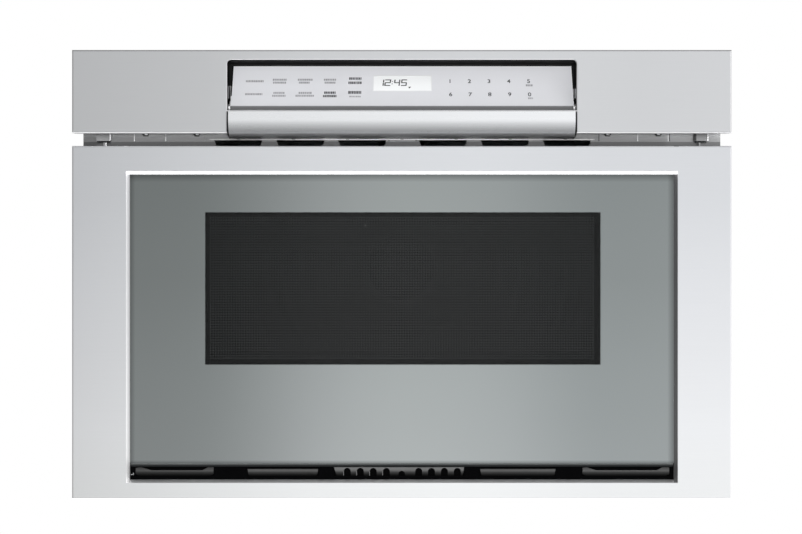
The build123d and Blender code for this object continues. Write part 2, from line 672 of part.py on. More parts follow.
with BuildPart() as window_screen:
    block(-190, 190, glass_y1, screen_back, win_low - 8, win_top + 8)
keep("window_screen", window_screen)

with BuildPart() as door_panel:
    with BuildSketch(xz(panel_back)):
        with Locations((0, (-180 + 104) / 2)):
            Rectangle(2 * 262, 284)
        with Locations((0, (win_low + win_top) / 2)):
            Rectangle(2 * win_hw, win_top - win_low, mode=Mode.SUBTRACT)
    extrude(amount=panel_back - screen_back)
keep("door_panel", door_panel)

ring_hw, ring_low, ring_top = 246.0, -118.0, 104.0
in_hw, in_low, in_top = 224.0, -96.0, 82.0
choke_y, cover_y = -3.2, -2.2
with BuildPart() as door_choke:
    block(-ring_hw, ring_hw, panel_back, choke_y, ring_low, ring_top)
    block(-ring_hw + 1.2, ring_hw - 1.2, panel_back + 1.2, 0, ring_low + 1.2, ring_top - 1.2, mode=Mode.SUBTRACT)
    block(-in_hw - 1.2, in_hw + 1.2, panel_back, choke_y, in_low - 1.2, in_top + 1.2)
    block(-in_hw, in_hw, panel_back - 1, 0, in_low, in_top, mode=Mode.SUBTRACT)
keep("door_choke", door_choke)

with BuildPart() as choke_cover:
    block(-ring_hw, ring_hw, choke_y, cover_y, ring_low, ring_top)
    block(-in_hw, in_hw, choke_y - 1, 0, in_low, in_top, mode=Mode.SUBTRACT)
keep("choke_cover", choke_cover)

with BuildPart() as inner_window:
    block(-in_hw, in_hw, panel_back, panel_back + 4, in_low, in_top)
keep("inner_window", inner_window)

pan_front = panel_back + 4
with BuildPart() as drawer_pan:
    block(-pan_hw, pan_hw, pan_front, pan_back, pan_low, pan_low + 1)
    for s in (-1, 1):
        block(s * (pan_hw - 1), s * pan_hw, pan_front, pan_back, pan_low, pan_top)
        block(s * (pan_hw - 1), s * (pan_hw + 2), pan_front, pan_back, pan_top - 1, pan_top)
    block(-pan_hw, pan_hw, pan_back - 1, pan_back, pan_low, pan_top)
    block(-pan_hw - 2, pan_hw + 2, pan_back - 1, pan_back + 2, pan_top - 1, pan_top)
keep("drawer_pan", drawer_pan)

with BuildPart() as ceramic_tray:
    block(-218, 218, pan_front + 2, pan_back - 3, pan_low + 1, pan_low + 6)
    block(-208, 208, pan_front + 12, pan_back - 13, pan_low + 4, pan_low + 7, mode=Mode.SUBTRACT)
    fillet(ceramic_tray.edges().filter_by(Axis.Z), 6)
keep("ceramic_tray", ceramic_tray)

chan_top, chan_low = -128.0, -180.0
with BuildPart() as door_channel:
    block(-262, 262, panel_back, panel_back + 2, chan_low, chan_top)
    block(-262, 262, panel_back, -14, chan_top - 2, chan_top)
    block(-262, 262, panel_back, -14, chan_low, chan_low + 2)
keep("door_channel", door_channel)

with BuildPart() as support_arms:
    for s in (-1, 1):
        block(s * 245.4, s * 247.4, panel_back + 2, 440, -172, -139)
        block(s * 232.0, s * 247.4, panel_back + 2, panel_back + 4, -172, -139)
keep("support_arms", support_arms)

pitch = math.pi * rack_m
half_t = (pitch / 2 - 0.22) / 2
tan20 = math.tan(math.radians(20))
add_r, ded_r = 1.3, 1.8
rack_pts = [(panel_back + 2, -140.0), (panel_back + 2, rack_line + ded_r)]
k = math.ceil((10 - pinion_y) / pitch)
while pinion_y + (k + 0.5) * pitch < 432:
    c = pinion_y + (k + 0.5) * pitch
    rack_pts += [
        (c - half_t - ded_r * tan20, rack_line + ded_r),
        (c - half_t + add_r * tan20, rack_line - add_r),
        (c + half_t - add_r * tan20, rack_line - add_r),
        (c + half_t + ded_r * tan20, rack_line + ded_r),
    ]
    k += 1
rack_pts += [(440.0, rack_line + ded_r), (440.0, -140.0)]
rack_body = prism_x(rack_pts, -6, 6)
with BuildPart() as drive_rack:
    add(rack_body)
keep("drive_rack", drive_rack)

# strip below the glass
pads = ((-245.2, -173.5), (-142.2, -77.2), (-62.6, 57.4), (72.2, 141.6), (166.5, 246.3))
pad_z0, pad_z1 = -184.9, -176.5
with BuildPart() as vent_grille:
    with BuildSketch(xz(-39.0)):
        with Locations((0, (-195.0 - 174.7) / 2)):
            Rectangle(2 * 250.0, 195.0 - 174.7)
        for x0, x1 in pads:
            with Locations(((x0 + x1) / 2, (pad_z0 + pad_z1) / 2)):
                Rectangle(x1 - x0 + 0.6, pad_z1 - pad_z0 + 0.6, mode=Mode.SUBTRACT)
    extrude(amount=2.0)
keep("vent_grille", vent_grille)

arch_x = (-50.3, -38.3, -26.4, -14.3, 15.7, 27.4, 39.4, 51.2)
with BuildPart() as grille_insert:
    block(-249, 249, -39.0, screen_back, -190.0, -175.0)
    for x0, x1 in pads:
        block(x0, x1, -40.6, -39.0, pad_z0, pad_z1)
    for x0, x1, w in ((-236.0, -178.0, 0), (171.0, 228.0, 0)):
        with BuildSketch(xz(-39.0)):
            with BuildLine():
                Polyline(
                    (x0, pad_z1 + 1), (x1, pad_z1 + 1), (x1 - 3, pad_z1 - 3.4),
                    (x0 + 3, pad_z1 - 3.4), close=True,
                )
            make_face()
        extrude(amount=2.0, mode=Mode.SUBTRACT)
    for x in arch_x:
        block(x - 2.3, x + 2.3, -42, -38.2, pad_z0 + 0.9, pad_z1 - 3.6, mode=Mode.SUBTRACT)
        rod_y(x, -42, -38.2, pad_z1 - 3.6, 2.3, mode=Mode.SUBTRACT)
    rod_y(-0.1, -42, -38.2, pad_z0 + 2.6, 1.9, mode=Mode.SUBTRACT)
keep("grille_insert", grille_insert)

with BuildPart() as latch_fingers:
    for s in (-1, 1):
        block(s * 256.5, s * 259.5, panel_back, 20.0, 56, 64)
        block(s * 250.0, s * 261.5, panel_back, panel_back + 2, 48, 72)
keep("latch_fingers", latch_fingers)

# -------------------------------------------------------------------- export
for name, part in pieces.items():
    export_step(part, "parts/" + name + ".step")
print(len(pieces), "pieces")
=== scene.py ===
import math
import random

import bmesh
import bpy
from mathutils import Matrix, Vector

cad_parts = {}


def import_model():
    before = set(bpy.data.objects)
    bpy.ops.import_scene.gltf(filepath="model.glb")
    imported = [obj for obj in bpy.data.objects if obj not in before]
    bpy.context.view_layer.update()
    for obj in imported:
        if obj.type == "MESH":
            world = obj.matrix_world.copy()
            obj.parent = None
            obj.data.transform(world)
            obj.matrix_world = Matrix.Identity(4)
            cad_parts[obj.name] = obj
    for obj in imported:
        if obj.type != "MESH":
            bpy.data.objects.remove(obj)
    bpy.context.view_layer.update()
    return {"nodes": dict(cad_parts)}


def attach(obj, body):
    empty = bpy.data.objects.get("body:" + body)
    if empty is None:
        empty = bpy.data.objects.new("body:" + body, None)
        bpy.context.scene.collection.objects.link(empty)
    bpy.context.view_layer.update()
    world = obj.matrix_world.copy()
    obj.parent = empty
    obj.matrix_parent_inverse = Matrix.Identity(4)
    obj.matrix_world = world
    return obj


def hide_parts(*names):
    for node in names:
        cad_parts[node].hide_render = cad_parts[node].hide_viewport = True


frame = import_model()
nodes = frame["nodes"]

MM = 0.001
FRONT_Y = -46.0
ROOT = "cabinet"


# ------------------------------------------------------------------ materials
def new_mat(name):
    m = bpy.data.materials.new(name)
    m.use_nodes = True
    nt = m.node_tree
    nt.nodes.clear()
    out = nt.nodes.new("ShaderNodeOutputMaterial")
    return m, nt, out


def principled(nt, out, rough=0.5, metallic=0.0, coat=0.0, coat_rough=0.1, ior=1.5, spec=0.5, aniso=0.0):
    b = nt.nodes.new("ShaderNodeBsdfPrincipled")
    b.inputs["Roughness"].default_value = rough
    b.inputs["Metallic"].default_value = metallic
    b.inputs["Coat Weight"].default_value = coat
    b.inputs["Coat Roughness"].default_value = coat_rough
    b.inputs["IOR"].default_value = ior
    b.inputs["Specular IOR Level"].default_value = spec
    b.inputs["Anisotropic"].default_value = aniso
    nt.links.new(b.outputs["BSDF"], out.inputs["Surface"])
    return b


def tex_noise(nt, scale=(1, 1, 1), noise=10.0, detail=3.0, rough=0.55):
    """Noise in object space, stretched by scale."""
    tc = nt.nodes.new("ShaderNodeTexCoord")
    mp = nt.nodes.new("ShaderNodeMapping")
    mp.inputs["Scale"].default_value = scale
    nt.links.new(tc.outputs["Object"], mp.inputs["Vector"])
    n = nt.nodes.new("ShaderNodeTexNoise")
    n.inputs["Scale"].default_value = noise
    n.inputs["Detail"].default_value = detail
    n.inputs["Roughness"].default_value = rough
    nt.links.new(mp.outputs["Vector"], n.inputs["Vector"])
    return n


def ramp(nt, fac, stops):
    r = nt.nodes.new("ShaderNodeValToRGB")
    els = r.color_ramp.elements
    while len(els) < len(stops):
        els.new(0.5)
    for e, (p, c) in zip(els, stops):
        e.position = p
        e.color = (c[0], c[1], c[2], 1.0)
    nt.links.new(fac, r.inputs["Fac"])
    return r


def tone(c, k):
    return tuple(min(1.0, v * k) for v in c)


def bump(nt, bsdf, height, strength=0.1, distance=0.0005):
    b = nt.nodes.new("ShaderNodeBump")
    b.inputs["Strength"].default_value = strength
    b.inputs["Distance"].default_value = distance
    nt.links.new(height, b.inputs["Height"])
    nt.links.new(b.outputs["Normal"], bsdf.inputs["Normal"])
    return b


def axes(nt):
    """Object-space coordinates, split."""
    tc = nt.nodes.new("ShaderNodeTexCoord")
    sep = nt.nodes.new("ShaderNodeSeparateXYZ")
    nt.links.new(tc.outputs["Object"], sep.inputs["Vector"])
    return sep


def step(nt, sock, a, b, lo=0.0, hi=1.0):
    """lo before a, hi after b, a straight change between them."""
    r = nt.nodes.new("ShaderNodeMapRange")
    r.inputs["From Min"].default_value = a
    r.inputs["From Max"].default_value = b
    r.inputs["To Min"].default_value = lo
    r.inputs["To Max"].default_value = hi
    nt.links.new(sock, r.inputs["Value"])
    return r.outputs["Result"]


def math_node(nt, op, a, b):
    n = nt.nodes.new("ShaderNodeMath")
    n.operation = op
    for i, v in enumerate((a, b)):
        if isinstance(v, (int, float)):
            n.inputs[i].default_value = v
        else:
            nt.links.new(v, n.inputs[i])
    return n.outputs["Value"]


def mix_colour(nt, fac, a, b, kind="MIX"):
    m = nt.nodes.new("ShaderNodeMix")
    m.data_type = "RGBA"
    m.blend_type = kind
    if isinstance(fac, (int, float)):
        m.inputs["Factor"].default_value = fac
    else:
        nt.links.new(fac, m.inputs["Factor"])
    for slot_i, v in ((6, a), (7, b)):
        if isinstance(v, tuple):
            m.inputs[slot_i].default_value = (v[0], v[1], v[2], 1.0)
        else:
            nt.links.new(v, m.inputs[slot_i])
    return m.outputs[2]


def simple(name, base, rough=0.5, metallic=0.0, var=0.08, noise=18.0, stretch=(1, 1, 1),
           bump_s=0.05, bump_scale=900.0, coat=0.0, spec=0.5):
    """A finish with a slow change of tone and a fine grain."""
    m, nt, out = new_mat(name)
    b = principled(nt, out, rough, metallic, coat=coat, spec=spec)
    n = tex_noise(nt, stretch, noise, 4.0)
    r = ramp(nt, n.outputs["Fac"], [(0.3, tone(base, 1 - var)), (0.7, tone(base, 1 + var))])
    nt.links.new(r.outputs["Color"], b.inputs["Base Color"])
    fine = tex_noise(nt, stretch, bump_scale, 2.0)
    bump(nt, b, fine.outputs["Fac"], bump_s, 0.0002)
    rr = nt.nodes.new("ShaderNodeMapRange")
    rr.inputs["To Min"].default_value = max(0.02, rough - 0.05)
    rr.inputs["To Max"].default_value = min(1.0, rough + 0.05)
    nt.links.new(n.outputs["Fac"], rr.inputs["Value"])
    nt.links.new(rr.outputs["Result"], b.inputs["Roughness"])
    return m


def brushed(name, base, rough, along=(1.5, 220, 220), streak=0.05, bump_s=0.12):
    """Brushed metal: fine streaks that run where the stretch is smallest."""
    m, nt, out = new_mat(name)
    b = principled(nt, out, rough, 1.0)
    a = tex_noise(nt, along, 9.0, 6.0, 0.7)
    slow = tex_noise(nt, (1, 1, 1), 3.0, 2.0)
    mix = nt.nodes.new("ShaderNodeMath")
    mix.operation = "MULTIPLY_ADD"
    mix.inputs[1].default_value = 0.8
    nt.links.new(a.outputs["Fac"], mix.inputs[0])
    sc = nt.nodes.new("ShaderNodeMath")
    sc.operation = "MULTIPLY"
    sc.inputs[1].default_value = 0.2
    nt.links.new(slow.outputs["Fac"], sc.inputs[0])
    nt.links.new(sc.outputs["Value"], mix.inputs[2])
    r = ramp(nt, mix.outputs["Value"], [(0.25, tone(base, 1 - streak)), (0.75, tone(base, 1 + streak))])
    nt.links.new(r.outputs["Color"], b.inputs["Base Color"])
    rr = nt.nodes.new("ShaderNodeMapRange")
    rr.inputs["From Min"].default_value = 0.3
    rr.inputs["From Max"].default_value = 0.7
    rr.inputs["To Min"].default_value = rough - 0.05
    rr.inputs["To Max"].default_value = rough + 0.05
    nt.links.new(a.outputs["Fac"], rr.inputs["Value"])
    nt.links.new(rr.outputs["Result"], b.inputs["Roughness"])
    bump(nt, b, a.outputs["Fac"], bump_s, 0.00012)
    return m


def cover_steel(name):
    """Brushed cover; painted light turns its lower bend and underside a lighter matt grey."""
    m, nt, out = new_mat(name)
    b = principled(nt, out, 0.30, 1.0)
    a = tex_noise(nt, (1.5, 220, 220), 9.0, 6.0, 0.7)
    slow = tex_noise(nt, (1, 1, 1), 3.0, 2.0)
    both = math_node(nt, "ADD", math_node(nt, "MULTIPLY", a.outputs["Fac"], 0.8),
                     math_node(nt, "MULTIPLY", slow.outputs["Fac"], 0.2))
    r = ramp(nt, both, [(0.25, (0.872, 0.872, 0.888)), (0.75, (0.944, 0.944, 0.958))])
    nt.links.new(r.outputs["Color"], b.inputs["Base Color"])
    nt.links.new(step(nt, a.outputs["Fac"], 0.3, 0.7, 0.25, 0.35), b.inputs["Roughness"])
    bump(nt, b, a.outputs["Fac"], 0.12, 0.00012)
    painted_light_matt = nt.nodes.new("ShaderNodeBsdfPrincipled")
    mr = ramp(nt, both, [(0.25, (0.60, 0.60, 0.605)), (0.75, (0.66, 0.66, 0.665))])
    nt.links.new(mr.outputs["Color"], painted_light_matt.inputs["Base Color"])
    painted_light_matt.inputs["Roughness"].default_value = 0.5
    painted_light_matt.inputs["Specular IOR Level"].default_value = 0.3
    # painted light: below about z 0.130 the cover mixes to a lighter matt grey
    p = axes(nt)
    low = step(nt, p.outputs["Z"], 0.1298, 0.1314, 0.13, 0.0)
    mx = nt.nodes.new("ShaderNodeMixShader")
    nt.links.new(low, mx.inputs["Fac"])
    nt.links.new(b.outputs["BSDF"], mx.inputs[1])
    nt.links.new(painted_light_matt.outputs["BSDF"], mx.inputs[2])
    nt.links.new(mx.outputs["Shader"], out.inputs["Surface"])
    return m


def grey(*stops):
    return [(p, (v, v, v)) for p, v in stops]


def drawer_steel(name):
    """Brushed front with painted light, brighter low down and varying across x; painted highlights on the bevel and the
    bottom edge.
    """
    m, nt, out = new_mat(name)
    b = principled(nt, out, 0.30, 1.0)
    p = axes(nt)
    a = tex_noise(nt, (1.5, 220, 220), 9.0, 6.0, 0.7)
    streaks = ramp(nt, a.outputs["Fac"], [(0.25, (0.965, 0.965, 0.965)), (0.75, (1.0, 1.0, 1.0))])
    # painted light: brighter low down and varying across x
    height = ramp(nt, step(nt, p.outputs["Z"], -0.206, 0.119), [
        (0.0, (1.0, 1.0, 1.0)), (0.2, (0.985, 0.985, 1.0)), (0.42, (0.915, 0.915, 0.935)),
        (0.56, (0.88, 0.882, 0.905)), (0.85, (0.795, 0.80, 0.825)), (1.0, (0.785, 0.79, 0.815)),
    ])
    painted_light_across_x = ramp(nt, step(nt, p.outputs["X"], -0.303, 0.303), grey(
        (0.0, 0.89), (0.2, 0.96), (0.36, 1.0), (0.62, 0.98), (0.8, 0.915), (1.0, 0.90),
    ))
    col = mix_colour(nt, 1.0, height.outputs["Color"], streaks.outputs["Color"], "MULTIPLY")
    col = mix_colour(nt, 1.0, col, painted_light_across_x.outputs["Color"], "MULTIPLY")
    # the right bevel of the opening lies in shade
    lee = math_node(nt, "MULTIPLY", step(nt, p.outputs["X"], 0.2498, 0.2502),
                    step(nt, p.outputs["X"], 0.2542, 0.2546, 1.0, 0.0))
    lee = math_node(nt, "MULTIPLY", lee, step(nt, p.outputs["Y"], -0.04585, -0.0456))
    lee = math_node(nt, "MULTIPLY", lee, step(nt, p.outputs["Y"], -0.0422, -0.0418, 1.0, 0.0))
    col = mix_colour(nt, math_node(nt, "MULTIPLY", lee, 0.66), col, (0.02, 0.02, 0.021))
    # and painted shade darkens the left one towards the glass
    left_bevel_shade = math_node(nt, "MULTIPLY", step(nt, p.outputs["X"], -0.2535, -0.2506),
                    step(nt, p.outputs["X"], -0.2502, -0.2498, 1.0, 0.0))
    left_bevel_shade = math_node(nt, "MULTIPLY", left_bevel_shade, step(nt, p.outputs["Y"], -0.04585, -0.0456))
    left_bevel_shade = math_node(nt, "MULTIPLY", left_bevel_shade, step(nt, p.outputs["Y"], -0.0422, -0.0418, 1.0, 0.0))
    col = mix_colour(nt, math_node(nt, "MULTIPLY", left_bevel_shade, 0.34), col, (0.02, 0.02, 0.021))
    nt.links.new(col, b.inputs["Base Color"])
    bump(nt, b, a.outputs["Fac"], 0.12, 0.00012)
    # painted highlight, glowing a little, on the bevel along the top of the opening, the outer part of the left bevel
    # and the bottom edge
    depth = math_node(nt, "MULTIPLY", step(nt, p.outputs["Y"], -0.0459, -0.0457),
                      step(nt, p.outputs["Y"], -0.0423, -0.0419, 1.0, 0.0))
    top = math_node(nt, "MULTIPLY", step(nt, p.outputs["Z"], 0.0925, 0.0932),
                    step(nt, p.outputs["Z"], 0.0964, 0.0968, 1.0, 0.0))
    ax = math_node(nt, "ABSOLUTE", p.outputs["X"], 0.0)
    wide = step(nt, ax, 0.2537, 0.2541, 1.0, 0.0)
    mask = math_node(nt, "MULTIPLY", math_node(nt, "MULTIPLY", depth, top), wide)
    mask = math_node(nt, "MAXIMUM", mask, step(nt, p.outputs["Z"], -0.2054, -0.2050, 1.0, 0.0))
    left = math_node(nt, "MULTIPLY", step(nt, p.outputs["X"], -0.2538, -0.2520, 1.0, 0.35),
                     step(nt, p.outputs["X"], -0.2556, -0.2548))
    left = math_node(nt, "MULTIPLY", left, step(nt, p.outputs["X"], -0.2512, -0.2506, 1.0, 0.0))
    mask = math_node(nt, "MAXIMUM", mask, math_node(nt, "MULTIPLY", math_node(nt, "MULTIPLY", left, depth), 0.3))
    painted_highlight = nt.nodes.new("ShaderNodeBsdfPrincipled")
    pn = tex_noise(nt, (1, 1, 1), 30.0, 2.0)
    pr = ramp(nt, pn.outputs["Fac"], [(0.3, (0.93, 0.93, 0.94)), (0.7, (0.97, 0.97, 0.98))])
    nt.links.new(pr.outputs["Color"], painted_highlight.inputs["Base Color"])
    nt.links.new(pr.outputs["Color"], painted_highlight.inputs["Emission Color"])
    painted_highlight.inputs["Emission Strength"].default_value = 0.45
    painted_highlight.inputs["Roughness"].default_value = 0.35
    mx = nt.nodes.new("ShaderNodeMixShader")
    nt.links.new(mask, mx.inputs["Fac"])
    nt.links.new(b.outputs["BSDF"], mx.inputs[1])
    nt.links.new(painted_highlight.outputs["BSDF"], mx.inputs[2])
    nt.links.new(mx.outputs["Shader"], out.inputs["Surface"])
    return m


def fascia_steel(name):
    """Brushed fascia with painted light across x; painted highlights on its lower bend and the rim of the cutout,
    painted shade on its top edge and inside the cutout.
    """
    m, nt, out = new_mat(name)
    b = principled(nt, out, 0.30, 1.0)
    p = axes(nt)
    a = tex_noise(nt, (1.5, 220, 220), 9.0, 6.0, 0.7)
    slow = tex_noise(nt, (1, 1, 1), 3.0, 2.0)
    both = math_node(nt, "ADD", math_node(nt, "MULTIPLY", a.outputs["Fac"], 0.8),
                     math_node(nt, "MULTIPLY", slow.outputs["Fac"], 0.2))
    streaks = ramp(nt, both, [(0.25, (0.945, 0.945, 0.965)), (0.75, (0.985, 0.985, 1.0))])
    # painted light: the tone varies across x
    painted_light_across_x = ramp(nt, step(nt, p.outputs["X"], -0.303, 0.303), grey(
        (0.0, 0.675), (0.2, 0.685), (0.36, 0.735), (0.62, 0.725), (0.86, 0.672), (1.0, 0.672),
    ))
    col = mix_colour(nt, 1.0, streaks.outputs["Color"], painted_light_across_x.outputs["Color"], "MULTIPLY")
    # painted shade: the top edge is darkened
    edge = ramp(nt, step(nt, p.outputs["Z"], 0.2057, 0.2062), grey((0.0, 1.0), (1.0, 0.5)))
    col = mix_colour(nt, 1.0, col, edge.outputs["Color"], "MULTIPLY")
    nt.links.new(col, b.inputs["Base Color"])
    bump(nt, b, a.outputs["Fac"], 0.12, 0.00012)
    # painted highlight, glowing a little, on the lower bend and on the rim of the cutout
    ax = math_node(nt, "ABSOLUTE", p.outputs["X"], 0.0)
    low = math_node(nt, "MULTIPLY", step(nt, p.outputs["Z"], 0.1311, 0.1315, 1.0, 0.0),
                    step(nt, ax, 0.1606, 0.1608))
    rim = math_node(nt, "MULTIPLY", step(nt, p.outputs["Z"], 0.19805, 0.1981),
                    step(nt, p.outputs["Z"], 0.1990, 0.1992, 1.0, 0.0))
    rim = math_node(nt, "MULTIPLY", rim, step(nt, p.outputs["Y"], -0.04595, -0.0459))
    rim = math_node(nt, "MULTIPLY", rim, step(nt, ax, 0.1600, 0.1606, 1.0, 0.0))
    mask = math_node(nt, "MAXIMUM", low, rim)
    painted_highlight = nt.nodes.new("ShaderNodeBsdfPrincipled")
    pn = tex_noise(nt, (1, 1, 1), 30.0, 2.0)
    pr = ramp(nt, pn.outputs["Fac"], [(0.3, (0.74, 0.74, 0.75)), (0.7, (0.79, 0.79, 0.80))])
    nt.links.new(pr.outputs["Color"], painted_highlight.inputs["Base Color"])
    nt.links.new(pr.outputs["Color"], painted_highlight.inputs["Emission Color"])
    painted_highlight.inputs["Emission Strength"].default_value = 0.02
    painted_highlight.inputs["Roughness"].default_value = 0.35
    mx = nt.nodes.new("ShaderNodeMixShader")
    nt.links.new(mask, mx.inputs["Fac"])
    nt.links.new(b.outputs["BSDF"], mx.inputs[1])
    nt.links.new(painted_highlight.outputs["BSDF"], mx.inputs[2])
    # painted shade on the sides of the cutout and under its top edge, less dark at the right side
    side = math_node(nt, "MULTIPLY", step(nt, ax, 0.16056, 0.16062, 1.0, 0.0),
                     step(nt, ax, 0.1603, 0.1604))
    side = math_node(nt, "MULTIPLY", side, step(nt, p.outputs["Z"], 0.1965, 0.1970, 1.0, 0.0))
    under = math_node(nt, "MULTIPLY", step(nt, p.outputs["Z"], 0.1970, 0.1972),
                      step(nt, p.outputs["Z"], 0.19802, 0.19804, 1.0, 0.0))
    under = math_node(nt, "MULTIPLY", under, step(nt, p.outputs["Y"], -0.0452, -0.0450))
    side = math_node(nt, "MAXIMUM", side, under)
    dark = nt.nodes.new("ShaderNodeBsdfPrincipled")
    dn = ramp(nt, pn.outputs["Fac"], [(0.3, (0.93, 0.93, 0.95)), (0.7, (1.0, 1.0, 1.0))])
    dx = ramp(nt, step(nt, p.outputs["X"], -0.161, 0.161), grey((0.0, 0.035), (0.05, 0.012), (0.95, 0.012), (1.0, 0.12)))
    nt.links.new(mix_colour(nt, 1.0, dn.outputs["Color"], dx.outputs["Color"], "MULTIPLY"), dark.inputs["Base Color"])
    dark.inputs["Roughness"].default_value = 0.6
    dark.inputs["Specular IOR Level"].default_value = 0.02
    mx2 = nt.nodes.new("ShaderNodeMixShader")
    nt.links.new(side, mx2.inputs["Fac"])
    nt.links.new(mx.outputs["Shader"], mx2.inputs[1])
    nt.links.new(dark.outputs["BSDF"], mx2.inputs[2])
    nt.links.new(mx2.outputs["Shader"], out.inputs["Surface"])
    return m


def spangled(name):
    """Zinc-coated sheet: small crystal patches that differ a little in tone."""
    m, nt, out = new_mat(name)
    b = principled(nt, out, 0.40, 0.85)
    tc = nt.nodes.new("ShaderNodeTexCoord")
    big = nt.nodes.new("ShaderNodeTexVoronoi")
    big.inputs["Scale"].default_value = 62.0
    nt.links.new(tc.outputs["Object"], big.inputs["Vector"])
    sep = nt.nodes.new("ShaderNodeSeparateColor")
    nt.links.new(big.outputs["Color"], sep.inputs["Color"])
    fine = tex_noise(nt, (1, 1, 1), 260.0, 4.0)
    slow = tex_noise(nt, (1, 1, 1), 5.0, 2.0)
    mixed = math_node(nt, "ADD", math_node(nt, "MULTIPLY", sep.outputs["Red"], 0.40),
                      math_node(nt, "MULTIPLY", fine.outputs["Fac"], 0.35))
    mixed = math_node(nt, "ADD", mixed, math_node(nt, "MULTIPLY", slow.outputs["Fac"], 0.25))
    r = ramp(nt, mixed, [(0.2, (0.53, 0.55, 0.57)), (0.5, (0.575, 0.595, 0.615)), (0.8, (0.62, 0.64, 0.66))])
    nt.links.new(r.outputs["Color"], b.inputs["Base Color"])
    rr = nt.nodes.new("ShaderNodeMapRange")
    rr.inputs["To Min"].default_value = 0.36
    rr.inputs["To Max"].default_value = 0.46
    nt.links.new(sep.outputs["Green"], rr.inputs["Value"])
    nt.links.new(rr.outputs["Result"], b.inputs["Roughness"])
    bump(nt, b, fine.outputs["Fac"], 0.05, 0.0002)
    return m


def flange_paint(name):
    """Grey coat with painted light and shade: varying across x, painted shade on the step below, painted light higher
    up and under the cover, black painted shade behind the key panel.
    """
    m, nt, out = new_mat(name)
    b = principled(nt, out, 0.42, 0.1)
    p = axes(nt)
    n = tex_noise(nt, (1, 1, 1), 70.0, 3.0)
    r = ramp(nt, n.outputs["Fac"], [(0.3, (0.225, 0.227, 0.230)), (0.7, (0.235, 0.237, 0.240))])
    # painted light: lighter towards the right, darker at the far left
    painted_light_across_x = ramp(nt, step(nt, p.outputs["X"], -0.300, 0.300), grey(
        (0.0, 0.66), (0.022, 0.66), (0.026, 0.95), (0.4, 0.97), (0.6, 1.0), (0.795, 0.97), (0.873, 1.07),
        (0.908, 1.10), (0.917, 1.42), (1.0, 1.42),
    ))
    col = mix_colour(nt, 1.0, r.outputs["Color"], painted_light_across_x.outputs["Color"], "MULTIPLY")
    # painted shade low down and painted light higher up
    low = ramp(nt, step(nt, p.outputs["Z"], 0.1220, 0.1330), grey(
        (0.0, 0.42), (0.24, 0.42), (0.29, 0.88), (0.44, 0.93), (0.52, 1.04), (0.61, 1.16), (0.69, 1.45),
        (0.78, 1.64), (0.86, 1.85), (1.0, 2.05),
    )).outputs["Color"]
    ax = math_node(nt, "ABSOLUTE", p.outputs["X"], 0.0)
    # painted shade: black behind the key panel
    behind_panel_shade = math_node(nt, "MULTIPLY", step(nt, ax, 0.1634, 0.1636, 1.0, 0.0), step(nt, p.outputs["Z"], 0.1480, 0.1484))
    behind_panel_shade = math_node(nt, "MULTIPLY", behind_panel_shade, step(nt, p.outputs["Z"], 0.1994, 0.1996, 1.0, 0.0))
    behind_panel_shade = math_node(nt, "MULTIPLY", behind_panel_shade, step(nt, p.outputs["Y"], -0.0008, -0.0006, 1.0, 0.0))
    # painted light: lighter under the cover
    lit = math_node(nt, "MULTIPLY", step(nt, ax, 0.1590, 0.1630, 1.0, 0.0), step(nt, p.outputs["Z"], 0.1279, 0.1283))
    lit = math_node(nt, "MULTIPLY", lit, step(nt, p.outputs["Z"], 0.1380, 0.1384, 1.0, 0.0))
    low = math_node(nt, "MULTIPLY", low, math_node(nt, "ADD", 1.0, math_node(nt, "MULTIPLY", lit, 0.7)))
    keep_ = math_node(nt, "MULTIPLY", low, math_node(nt, "SUBTRACT", 1.0, math_node(nt, "MULTIPLY", behind_panel_shade, 0.985)))
    shade = nt.nodes.new("ShaderNodeCombineColor")
    for k in range(3):
        nt.links.new(keep_, shade.inputs[k])
    nt.links.new(mix_colour(nt, 1.0, col, shade.outputs["Color"], "MULTIPLY"), b.inputs["Base Color"])
    fine = tex_noise(nt, (1, 1, 1), 1500.0, 2.0)
    bump(nt, b, fine.outputs["Fac"], 0.08, 0.0002)
    return m


def lip_steel(name):
    """Lip of the exhaust slots: a painted highlight in the middle, painted shade towards both ends."""
    m, nt, out = new_mat(name)
    b = principled(nt, out, 0.35, 0.0)
    p = axes(nt)
    n = tex_noise(nt, (1, 1, 1), 40.0, 3.0)
    tint = ramp(nt, n.outputs["Fac"], [(0.3, (0.96, 0.96, 0.96)), (0.7, (1.0, 1.0, 1.0))])
    painted_light_along_x = ramp(nt, step(nt, p.outputs["X"], -0.181, 0.181), grey(
        (0.0, 0.38), (0.10, 0.40), (0.20, 0.55), (0.30, 0.82), (0.5, 0.88), (0.78, 0.84), (0.85, 0.55), (1.0, 0.46),
    ))
    nt.links.new(mix_colour(nt, 1.0, painted_light_along_x.outputs["Color"], tint.outputs["Color"], "MULTIPLY"), b.inputs["Base Color"])
    return m


